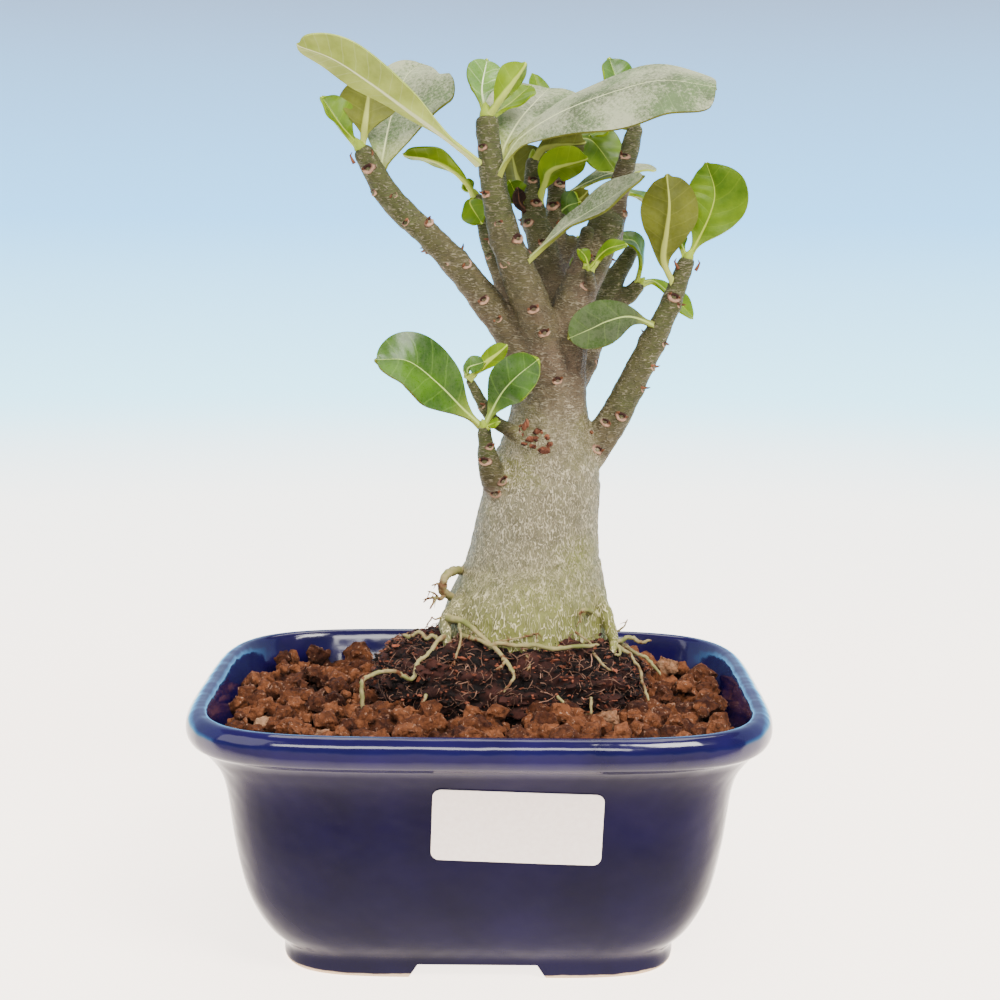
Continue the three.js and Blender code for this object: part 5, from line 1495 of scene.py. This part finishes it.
# For each node of the frame: its slot, the shoot that its leaves grow on, and the leaves
LEAVES = {
    "leaf_long_left": ("leaf_pale", None, [
        blade(("glossy_upper", "pale_under"), 14, (0.3, 0.62, 0.75), 10, (-1, -3, 203), (-11, -8, 210.5),
              (-18, -11, 215.5), (-28, -15, 222.5), (-37, -17, 228), (-45.5, -18, 231), point=0.3)]),
    "leaf_broad_left": ("leaf_dusty", None, [
        blade(DUSTY, 26, (-0.25, -0.75, 0.6), 14, (-27, -0.5, 198.5), (-26, 5, 207.5), (-24.5, 13, 216.5),
              (-21.5, 20, 226), (-17.5, 24, 230), belly=1.35, skew=0.35)]),
    "leaves_left_tip": ("leaf_pale", "left", [
        blade(OLIVE, 15, (0, 1, 0.1), 8, (-31, -3, 206), (-30.5, 0, 213.5), (-29.5, 3.5, 224)),
        blade(YOUNG, 9, (0.6, -0.6, 0.4), 35, (-32, -3, 206), (-36.5, -1, 212), (-41.5, 0, 219))]),
    "leaves_front_tip": ("leaf_fresh", "front", [
        blade(("pale_glossy", "fresh_under"), 9.6, (0.3, -0.9, 0.2), 18, (0.5, -2, 214), (-0.6, -1, 221.5),
              (0.6, 2, 229)),
        blade(YOUNG, 7.4, (-0.5, 0.8, 0.3), 32, (1, -3.5, 214), (5, -5, 220.5), (10, -5, 227.5)),
        blade(YOUNG, 11, (-0.3, -0.5, 0.8), 10, (2, -0.5, 214), (6.5, 4, 218.5), (11.5, 8, 223))]),
    "leaf_broad_back": ("leaf_dusty", None, [
        blade(DUSTY, 31, (0, -0.6, 0.8), 6, (4, 0.5, 203.5), (6, 4, 209), (9.5, 9, 215), (14, 18, 220.5),
              (17, 27, 224), skew=-0.2)]),
    "leaf_long_right": ("leaf_dusty", None, [
        blade(DUSTY, 25.6, (0, -0.56, 0.83), -14, (3, -3.4, 199.5), (5.5, -6, 204), (9.5, -8, 209.5),
              (19.5, -12, 215.5), (33, -15, 220.5), (44.5, -17, 223), (57.5, -18, 221.4), belly=1.45,
              point=0.2)]),
    "leaf_behind": ("leaf_pale", None, [
        blade(OLIVE, 19, (0.3, 0.9, 0.3), 8, (13.4, 26, 194.5), (9.5, 31, 200), (7.5, 34, 208))]),
    "leaves_middle_tip": ("leaf_pale", "middle", [
        blade(OLIVE, 12, (0.2, 0.8, 0.6), 12, (14, 24.5, 205), (17, 22, 208.5), (26.5, 20, 209.5))]),
    "leaf_under": ("leaf_pale", None, [
        blade(GLOSSY, 10, (0.2, 0.8, 0.5), 10, (15, 22.6, 193.5), (16.5, 20.5, 199), (18.5, 19, 202.5),
              (27, 18, 205))]),
    "leaves_middle_right_tip": ("leaf_fresh", "middle_right", [
        blade(YOUNG, 8, (0.6, -0.7, 0.2), 10, (20, 30, 203), (17.5, 39, 216), (13.5, 43, 229)),
        blade(YOUNG, 14, (0, -0.6, 0.8), 8, (20.5, 30, 202.5), (23.5, 31, 209.5), (29, 30, 210.5),
              (35.5, 28, 202.5))]),
    "leaves_leader_tip": ("leaf_fresh", "thick_leader", [
        blade(YOUNG, 8, (0, -0.5, 0.85), 10, (40, 19, 214), (34, 21, 214), (28.5, 22, 211.5)),
        blade(GLOSSY, 11, (0.4, -0.7, 0.5), 18, (40, 19, 214), (37, 22, 222), (33.5, 24, 231.5))]),
    "leaf_far_right": ("leaf_dusty", None, [
        blade(("dusty_upper", "pale_under"), 12, (0, -0.3, 0.95), 8, (20.5, 29, 194.5), (29, 32, 199.5),
              (37.5, 36, 202.5), (47.5, 40, 203.5))]),
    "leaf_inner_round": ("leaf_deep", None, [
        blade(GLOSSY, 8, (0, -0.9, 0.4), 8, (20, 26.6, 190), (22.4, 23.6, 192.4), (25.4, 22, 193.4))]),
    "leaf_inner_olive": ("leaf_pale", None, [
        blade(OLIVE, 6, (0.3, 0.8, 0.5), 8, (21, 28, 189), (24.5, 27.6, 193), (28, 26, 196.4))]),
    "leaf_slanted": ("leaf_dusty", None, [
        blade(DUSTY, 13, (-0.61, -0.37, 0.7), 11, (10, 1, 177), (20.5, -1, 186.5), (26.5, -3, 190.5),
              (32, -4, 194), (40.5, -6, 200))]),
    "leaves_rear_left_tip": ("leaf_fresh", "rear_left", [
        blade(YOUNG, 8, (0.2, 0.5, 0.8), 12, (-2, 24, 195.5), (-6, 22, 200), (-10.5, 21, 203.5),
              (-16, 20, 205.5), (-21.5, 19, 206)),
        blade(YOUNG, 7.4, (-0.4, -0.8, 0.3), 12, (-1.5, 23.4, 195), (-4, 20, 193), (-1, 16.4, 188)),
        blade(YOUNG, 4, (0, -0.8, 0.6), 10, (-2.5, 24, 195), (-5.5, 23, 199))]),
    "leaves_tiny_shoot": ("leaf_fresh", "tiny_shoot", [
        blade(YOUNG, 4.6, (0, -0.6, 0.8), 14, (27.6, 3, 176), (31.9, 1, 181), (37, 0.5, 182.6)),
        blade(YOUNG, 3.6, (0.3, -0.8, 0.5), 14, (27.6, 3, 176), (26.8, 1.6, 179), (25.2, 1.4, 180.8))]),
    "leaves_hooked_tip": ("leaf_deep", "hooked_side", [
        blade(GLOSSY, 8, (0.7, -0.4, 0.6), 10, (42.5, 30.8, 171.5), (43.6, 28, 177.5), (41.5, 26.4, 183),
              (36.5, 26, 183.8)),
        blade(YOUNG, 9, (0.2, -0.5, 0.85), 8, (43, 31.4, 171.5), (47.5, 35, 172), (53.5, 37, 167.6),
              (59, 38, 162))]),
    "leaf_right_olive": ("leaf_pale", None, [
        blade(OLIVE, 15, (0.1, 1, 0), 6, (50.6, 8.4, 172), (47.5, 7, 178), (48, 5, 185.5), (48.5, 4, 192.5),
              (47.8, 5, 200))]),
    "leaves_right_tip": ("leaf_fresh", "right", [
        blade(YOUNG, 18, (-0.25, -0.95, 0), 6, (54.5, 8, 178.5), (56.5, 7.4, 183.5), (59.5, 6.6, 190.5),
              (60.5, 6.6, 196.5), (58.2, 7, 203.6), belly=1.5, point=0.8),
        blade(YOUNG, 5, (0.7, -0.6, 0.2), 10, (53.5, 8.6, 178.5), (52.5, 10, 183), (51.5, 12, 187.5))]),
    "leaf_middle_right": ("leaf_deep", None, [
        blade(("dull_upper", "olive_under"), 12.4, (-0.1, -0.95, 0.3), 8, (47, 8.4, 160.5), (39, 4, 163.5),
              (33, 2, 162.5), (28.5, 1, 160.5), (22.8, 0.6, 158))]),
    "leaves_stub_tip": ("leaf_deep", "left_stub", [
        blade(OLIVE, 18, (0.1, -0.8, 0.6), 8, (0, -1, 135), (-4.5, -3, 139), (-11.5, -7, 146.5),
              (-19, -11, 152.5), (-27, -13, 153), belly=1.35),
        blade(GLOSSY, 12, (-0.1, -0.9, 0.4), 8, (0.6, -1.4, 135), (4.5, -4, 143), (8.5, -6.4, 148),
              (14, -7.4, 152.6), belly=1.5),
        blade(YOUNG, 3, (0, -0.7, 0.7), 10, (0.6, -2, 134.6), (4, -4, 136.4))]),
    "leaves_thin_stub_tip": ("leaf_fresh", "thin_stub", [
        blade(YOUNG, 5, (0.7, 0.2, 0.7), 10, (-3.4, 2, 147), (1.5, 0, 152), (6, -0.6, 156)),
        blade(GLOSSY, 5, (0.2, -0.8, 0.5), 10, (-3.4, 2, 147), (-3.8, 0, 150), (0.2, -1.4, 151.6))]),
    "leaf_inner_green": ("leaf_fresh", None, [
        blade(YOUNG, 7, (0.3, -0.9, 0.3), 10, (12, 22, 192), (9, 20, 195), (7, 19, 198.5))]),
    "leaf_dried": ("leaf_dried", None, [
        blade(("dried_skin", "dried_skin"), 4, (0.4, -0.8, 0.3), 20, (11.6, 21.4, 191), (9.6, 17.4, 193),
              (9, 16.4, 196.6))]),
    "leaf_peeking": ("leaf_dusty", None, [
        blade(GLOSSY, 9, (0.2, -0.4, 0.9), 8, (36.4, 18, 196.5), (42, 24, 195.5), (49, 27, 190))]),
    "leaf_rear_low": ("leaf_fresh", None, [
        blade(YOUNG, 9, (-0.6, -0.7, 0.4), 10, (19, 27, 176), (22.5, 33, 174), (26, 36, 177),
              (26, 39, 184))]),
    "leaf_rear_right": ("leaf_deep", None, [
        blade(GLOSSY, 8, (0.4, -0.8, 0.4), 10, (32.4, 30, 160.5), (31, 36, 167), (29, 40, 175))]),
}
STALK_THICKNESS = 1.5
BLADE_SHARE = 0.4
# Narrower leaves than this have half the faces along and across
SMALL_LEAF = 7


def shoot_end(path):
    """The end of a shoot, the way that it points and its radius."""
    end = Vector(path[-1][:3])
    return end, (end - Vector(path[-2][:3])).normalized(), path[-1][3]


def blade_width(t, belly, point):
    """Width along the leaf: a stalk, then widest past the middle, then a round end."""
    swell = math.sin(math.pi * min(t, 0.9999) ** belly)
    widest = 0.5 ** (1 / belly)
    return swell ** 1.2 if t < widest else swell ** point


def shape_leaf(leaf, settings, number):
    """One leaf, from a flat grid bent along its midrib and given its thickness."""
    coarser = 2 if leaf["width"] < SMALL_LEAF else 1
    rows_count = settings.rows // coarser
    path = smooth_path(leaf["rib"], 16)
    face = Vector(leaf["face"]).normalized()
    fold = math.tan(math.radians(leaf["fold"]))
    skin = flat_grid(settings.columns // coarser, rows_count)
    shares = np.sin(np.linspace(0, 1, rows_count + 1) * math.pi / 2)
    middles, length = along_path(path, shares)
    ahead, _ = along_path(path, np.minimum(1, shares + 0.012))
    behind, _ = along_path(path, np.maximum(0, shares - 0.012))
    places = []
    marks = []
    weights = []
    for vert in skin.data.vertices:
        row = round((vert.co.y + 1) / 2 * rows_count)
        t = float(shares[row])
        s = math.copysign(abs(vert.co.x) ** 1.25, vert.co.x)
        along = Vector(ahead[row] - behind[row]).normalized()
        across = along.cross(face).normalized()
        normal = across.cross(along)
        swell = blade_width(t, leaf["belly"], leaf["point"])
        half = max(leaf["width"] / 2 * swell, 0.75 if t < 0.2 else 0.05)
        reach = half * (1 + leaf["skew"] * math.copysign(1, s)) if s else half
        away = abs(s) * reach
        rise = (math.sqrt(s * s + 0.012) - 0.11) * reach * fold
        ripple = 0.45 * s * s * math.sin(t * 15 + number * 1.7 + (0 if s > 0 else 2.1)) * min(1, half / 5)
        quilt = 0.1 * math.sin(math.tau * (t * length - 0.55 * away) / 3.4) * min(1, away / 2) * (1 - s * s)
        groove = -0.22 * math.exp(-(away / 0.7) ** 2) * min(1, half / 3)
        spot = Vector(middles[row]) + across * s * reach + normal * (rise + ripple + quilt + groove)
        places.append(spot)
        marks.append((s * reach, t * length, t))
        ridge = math.exp(-(away / 1.1) ** 2) * (1 - 0.7 * t)
        stalk = max(0.0, 1 - t / 0.18)
        rim = 1 - 0.55 * abs(s) ** 6
        weights.append(max(stalk, BLADE_SHARE * rim, BLADE_SHARE + (1 - BLADE_SHARE) * ridge * 0.7))
    move_points(skin, places)
    mark(skin, "leaf_place", marks)
    # Solidify gives the underside the second slot, so both stand ready
    skin.data.materials.append(None)
    skin.data.materials.append(None)
    group = skin.vertex_groups.new(name="thickness")
    for i, weight in enumerate(weights):
        group.add([i], min(1.0, weight), "REPLACE")
    apply_modifier(
        skin, "SOLIDIFY", thickness=STALK_THICKNESS * MM, offset=-1, vertex_group="thickness",
        thickness_vertex_group=0.0, material_offset=1, material_offset_rim=1)
    skin.vertex_groups.clear()
    smooth(skin, 60)
    return skin


def bud(path):
    """The small pointed growing tip between young leaves."""
    end, along, radius = shoot_end(path)
    bpy.ops.mesh.primitive_ico_sphere_add(subdivisions=3, radius=1, location=(0, 0, 0))
    tip = bpy.context.object
    turn = along.to_track_quat("Z", "Y").to_matrix()
    rows = []
    for vert in tip.data.vertices:
        taper = 1 - 0.45 * max(0, vert.co.z)
        shaped = Vector((vert.co.x * taper * 0.62, vert.co.y * taper * 0.62, vert.co.z * 1.1)) * radius
        rows.append(end + along * 0.5 * radius + turn @ shaped)
    move_points(tip, rows)
    mark(tip, "leaf_place", [(2.0, 1.0, 0.1)] * len(rows))
    tip.data.materials.append(None)
    smooth(tip)
    return tip


def dress(piece, upper, under, order, skins):
    """Gives a piece the shared material list, with its upper and under faces at the right entries."""
    indices = np.empty(len(piece.data.polygons), np.int32)
    piece.data.polygons.foreach_get("material_index", indices)
    piece.data.materials.clear()
    for look in order:
        piece.data.materials.append(skins[look])
    indices = np.where(indices == 0, order.index(upper), order.index(under)).astype(np.int32)
    piece.data.polygons.foreach_set("material_index", indices)


def build_leaves(settings):
    """Every leaf and growing tip, a piece for each node of the frame."""
    skins = {name: leaf_skin(name, look) for name, look in LEAF_LOOKS.items()}
    number = 0
    for node_name, (slot, shoot, leaves) in LEAVES.items():
        parts = []
        looks = sorted({look for leaf in leaves for look in leaf["looks"]} | {"fresh_under"})
        for leaf in leaves:
            if shoot:
                end, along, radius = shoot_end(BRANCHES[shoot])
                towards = (Vector(leaf["rib"][1]) - end).normalized()
                root = end + along * 0.2 * radius + towards * 0.35 * radius
                leaf = {**leaf, "rib": [tuple(root), *leaf["rib"][1:]]}
            shaped = shape_leaf(leaf, settings, number)
            dress(shaped, *leaf["looks"], looks, skins)
            parts.append(shaped)
            number += 1
        if shoot:
            tip = bud(BRANCHES[shoot])
            dress(tip, "fresh_under", "fresh_under", looks, skins)
            parts.append(tip)
        piece = join_pieces(parts)
        kept = np.empty(len(piece.data.polygons), np.int32)
        piece.data.polygons.foreach_get("material_index", kept)
        finish_piece(piece, node_name + "_blades", slot, [skins[look] for look in looks], node_name)
        piece.data.polygons.foreach_set("material_index", kept)


# Drain mesh: the frame's own solids, with a moulded plastic finish

def moulded_mesh():
    """Polypropylene mesh: moulded, dull black, with a faint grain and a film of brown silt."""
    material, surface = new_material("moulded_polypropylene")
    place = add(material, "TexCoord", out="Object")
    grain = add(material, "TexNoise", {"Vector": place, "Scale": every(0.45)})
    silt = add(material, "TexNoise", {"Vector": place, "Scale": every(3.0), "Detail": 4.0})
    colour = add(material, "ValToRGB", {"Fac": silt}, stops=[(0.45, "#232526"), (0.75, "#4a3a2e")])
    bump = add(material, "Bump", {"Height": grain, "Strength": 0.2, "Distance": 0.0001})
    feed(material, surface, {"Roughness": 0.55, "Base Color": colour, "Normal": bump})
    return material


# Stage

# The camera's focal length and picture side in pixels, its sensor in millimetres, and where it looks
CAMERA_FOCUS = 1815
FRAME_SIDE = 1000
SENSOR = 36
LOOK_AT = (4.8, 0, 114.9)
# The backdrop is flat out to this distance, then curves up over the bend into a wall
FLOOR_FLAT = 1350
FLOOR_BEND = 375
WALL_TOP = 1700


def studio_paper():
    """Matt backdrop paper that glows, warm white underfoot and pale blue far off and high up, with painted
    shade in front of the pot.
    """
    material, surface = new_material("matt_backdrop_paper")
    place = add(material, "TexCoord", out="Object")
    parts = add(material, "SeparateXYZ", {"Vector": place}).node.outputs
    flat = add(material, "VectorMath", {0: place, 1: (1.0, 1.0, 0.0)}, operation="MULTIPLY")
    far = add(material, "VectorMath", {0: flat}, out="Value", operation="LENGTH")
    away = add(material, "Math", {0: far, 1: 0.3, 2: parts["Z"]}, operation="MULTIPLY_ADD")
    colour = add(
        material, "ValToRGB", {"Fac": away},
        stops=[(0.08, "#fff0e2"), (1.0, "#646e81"), (0.24, "#f6f4ec"), (0.45, "#a0e3f7"),
               (0.7, "#65a9da")])
    # Painted shade: the paper in front of the pot glows only dimly and its colour is darkened, and the wall
    # over there glows at part strength
    behind = add(
        material, "MapRange",
        {"Value": parts["Y"], "From Min": -0.16, "From Max": -0.062, "To Min": 0.07})
    up = add(material, "MapRange", {"Value": parts["Z"], "From Min": 0.1, "From Max": 0.6, "To Max": 0.3})
    painted_glow_share = add(material, "Math", {0: behind, 1: up}, operation="MAXIMUM")
    tone = add(material, "MapRange", {"Value": painted_glow_share, "To Min": 0.22, "To Max": 0.6})
    paper = add(material, "HueSaturation", {"Color": colour, "Value": tone})
    glow = add(material, "Math", {0: painted_glow_share, 1: 3.9}, operation="MULTIPLY")
    feed(material, surface, {"Emission Color": colour, "Base Color": paper, "Emission Strength": glow,
                             "Roughness": 0.9})
    return material


def build_stage(settings):
    """A round pale floor that curves up into a wall, the camera and four soft lights."""
    bpy.ops.mesh.primitive_circle_add(vertices=96, radius=FLOOR_FLAT * MM, fill_type="NGON")
    floor = bpy.context.object
    edit_all(floor)
    bpy.ops.mesh.extrude_edges_move()
    for step in range(1, 9):
        angle = step / 8 * math.pi / 2
        grid = bmesh.from_edit_mesh(floor.data)
        reach = (FLOOR_FLAT + FLOOR_BEND * math.sin(angle)) * MM
        height = FLOOR_BEND * (1 - math.cos(angle)) * MM
        for vert in grid.verts:
            if vert.select:
                flat = Vector((vert.co.x, vert.co.y, 0)).normalized() * reach
                vert.co = Vector((flat.x, flat.y, height))
        bmesh.update_edit_mesh(floor.data)
        bpy.ops.mesh.extrude_edges_move()
    bpy.ops.transform.translate(value=(0, 0, (WALL_TOP - FLOOR_BEND) * MM))
    end_edit(outward=False)
    floor.name = "studio_floor"
    floor.data.materials.append(studio_paper())
    smooth(floor)
    lights = [
        ("key_softbox", (480, -640, 880), 460, 460, 22.0),
        ("fill_softbox", (-720, -420, 560), 700, 700, 4.0),
        ("top_softbox", (60, 200, 1100), 800, 800, 11.0),
        ("window_panel", (-160, -1150, 640), 900, 300, 14.0),
    ]
    for name, place, width, height, power in lights:
        bpy.ops.object.light_add(type="AREA", location=Vector(place) * MM)
        light = bpy.context.object
        light.name = name
        light.data.shape = "RECTANGLE"
        light.data.size = width * MM
        light.data.size_y = height * MM
        light.data.energy = power
        light.data.color = (1.0, 0.98, 0.95)
        aim = Vector((0, 0, 100)) * MM - light.location
        light.rotation_euler = aim.to_track_quat("-Z", "Y").to_euler()
    world = bpy.data.worlds.new("studio_air")
    world.use_nodes = True
    world.node_tree.nodes["Background"].inputs["Color"].default_value = srgb("#dfe6ee")
    world.node_tree.nodes["Background"].inputs["Strength"].default_value = 0.35
    bpy.context.scene.world = world
    place_camera(settings)


def place_camera(settings):
    """The camera, where the picture was taken from."""
    forward = Vector((0, math.cos(settings.pitch), -math.sin(settings.pitch)))
    target = Vector(LOOK_AT) * MM
    bpy.ops.object.camera_add(location=target - forward * settings.distance)
    camera = bpy.context.object
    camera.name = "photo_camera"
    camera.data.sensor_width = SENSOR
    camera.data.lens = SENSOR * CAMERA_FOCUS / FRAME_SIDE
    turn = forward.to_track_quat("-Z", "Y").to_matrix() @ Matrix.Rotation(settings.roll, 3, "Z")
    camera.rotation_euler = turn.to_euler()
    camera.data.clip_start = 0.01
    camera.data.clip_end = 20
    bpy.context.scene.camera = camera


# Operators

class DESERTROSE_OT_pot(bpy.types.Operator):
    """Builds the glazed pot in the place of its solid."""

    bl_idname = "desert_rose.pot"
    bl_label = "Glazed Pot"

    def execute(self, context):
        build_pot(context.scene.desert_pot)
        return {"FINISHED"}


class DESERTROSE_OT_sticker(bpy.types.Operator):
    """Lays the blank sticker on the pot's front wall."""

    bl_idname = "desert_rose.sticker"
    bl_label = "Blank Sticker"

    def execute(self, context):
        build_label(context.scene.desert_pot)
        return {"FINISHED"}


class DESERTROSE_OT_drain_mesh(bpy.types.Operator):
    """Gives the drain mesh its moulded plastic finish."""

    bl_idname = "desert_rose.drain_mesh"
    bl_label = "Drain Mesh"

    def execute(self, context):
        plastic = moulded_mesh()
        for side in ("left", "right"):
            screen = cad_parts["drain_mesh_" + side]
            screen.data.materials.clear()
            screen.data.materials.append(plastic)
        return {"FINISHED"}


class DESERTROSE_OT_granules(bpy.types.Operator):
    """Fills the pot with broken baked clay."""

    bl_idname = "desert_rose.granules"
    bl_label = "Clay Granules"

    def execute(self, context):
        build_granules(context.scene.desert_soil, context.scene.desert_pot)
        return {"FINISHED"}


class DESERTROSE_OT_root_ball(bpy.types.Operator):
    """Builds the peat mound and its loose fibres."""

    bl_idname = "desert_rose.root_ball"
    bl_label = "Root Ball"

    def execute(self, context):
        build_root_ball(context.scene.desert_soil)
        return {"FINISHED"}


class DESERTROSE_OT_wood(bpy.types.Operator):
    """Builds the swollen trunk with its branches, roots, leaf scars and dry hooks."""

    bl_idname = "desert_rose.wood"
    bl_label = "Trunk and Branches"

    def execute(self, context):
        build_trunk(context.scene.desert_wood)
        build_roots()
        build_scars()
        build_torn_bark()
        return {"FINISHED"}


class DESERTROSE_OT_leaves(bpy.types.Operator):
    """Builds every leaf over its solid."""

    bl_idname = "desert_rose.leaves"
    bl_label = "Leaves"

    def execute(self, context):
        build_leaves(context.scene.desert_leaf)
        return {"FINISHED"}


class DESERTROSE_OT_stage(bpy.types.Operator):
    """Sets the camera, the soft lights and the pale floor."""

    bl_idname = "desert_rose.stage"
    bl_label = "Stage"

    def execute(self, context):
        build_stage(context.scene.desert_stage)
        return {"FINISHED"}


class DESERTROSE_PT_sidebar(bpy.types.Panel):
    """Lists the settings and the steps in the sidebar."""

    bl_label = "Desert Rose"
    bl_idname = "DESERTROSE_PT_sidebar"
    bl_space_type = "VIEW_3D"
    bl_region_type = "UI"
    bl_category = "Desert Rose"

    def draw(self, context):
        for group_name in GROUPS:
            group = getattr(context.scene, group_name)
            box = self.layout.box()
            for name in group.bl_rna.properties.keys():
                if name not in ("rna_type", "name"):
                    box.prop(group, name)
        for operator in OPERATORS:
            self.layout.operator(operator.bl_idname)


GROUPS = {
    "desert_pot": PotSettings,
    "desert_soil": SoilSettings,
    "desert_wood": WoodSettings,
    "desert_leaf": LeafSettings,
    "desert_stage": StageSettings,
}
OPERATORS = [
    DESERTROSE_OT_stage, DESERTROSE_OT_pot, DESERTROSE_OT_sticker, DESERTROSE_OT_drain_mesh,
    DESERTROSE_OT_granules, DESERTROSE_OT_root_ball, DESERTROSE_OT_wood, DESERTROSE_OT_leaves,
]


def register():
    """Makes the settings, the steps and the sidebar known to Blender."""
    for group_name, group in GROUPS.items():
        bpy.utils.register_class(group)
        setattr(bpy.types.Scene, group_name, PointerProperty(type=group))
    for operator in OPERATORS:
        bpy.utils.register_class(operator)
    bpy.utils.register_class(DESERTROSE_PT_sidebar)


def unregister():
    """Takes the sidebar, the steps and the settings away again."""
    bpy.utils.unregister_class(DESERTROSE_PT_sidebar)
    for operator in reversed(OPERATORS):
        bpy.utils.unregister_class(operator)
    for group_name, group in reversed(GROUPS.items()):
        delattr(bpy.types.Scene, group_name)
        bpy.utils.unregister_class(group)


def main():
    """Builds every piece."""
    register()
    bpy.ops.desert_rose.stage()
    bpy.ops.desert_rose.pot()
    bpy.ops.desert_rose.sticker()
    bpy.ops.desert_rose.drain_mesh()
    bpy.ops.desert_rose.granules()
    bpy.ops.desert_rose.root_ball()
    bpy.ops.desert_rose.wood()
    bpy.ops.desert_rose.leaves()


if __name__ == "__main__":
    main()
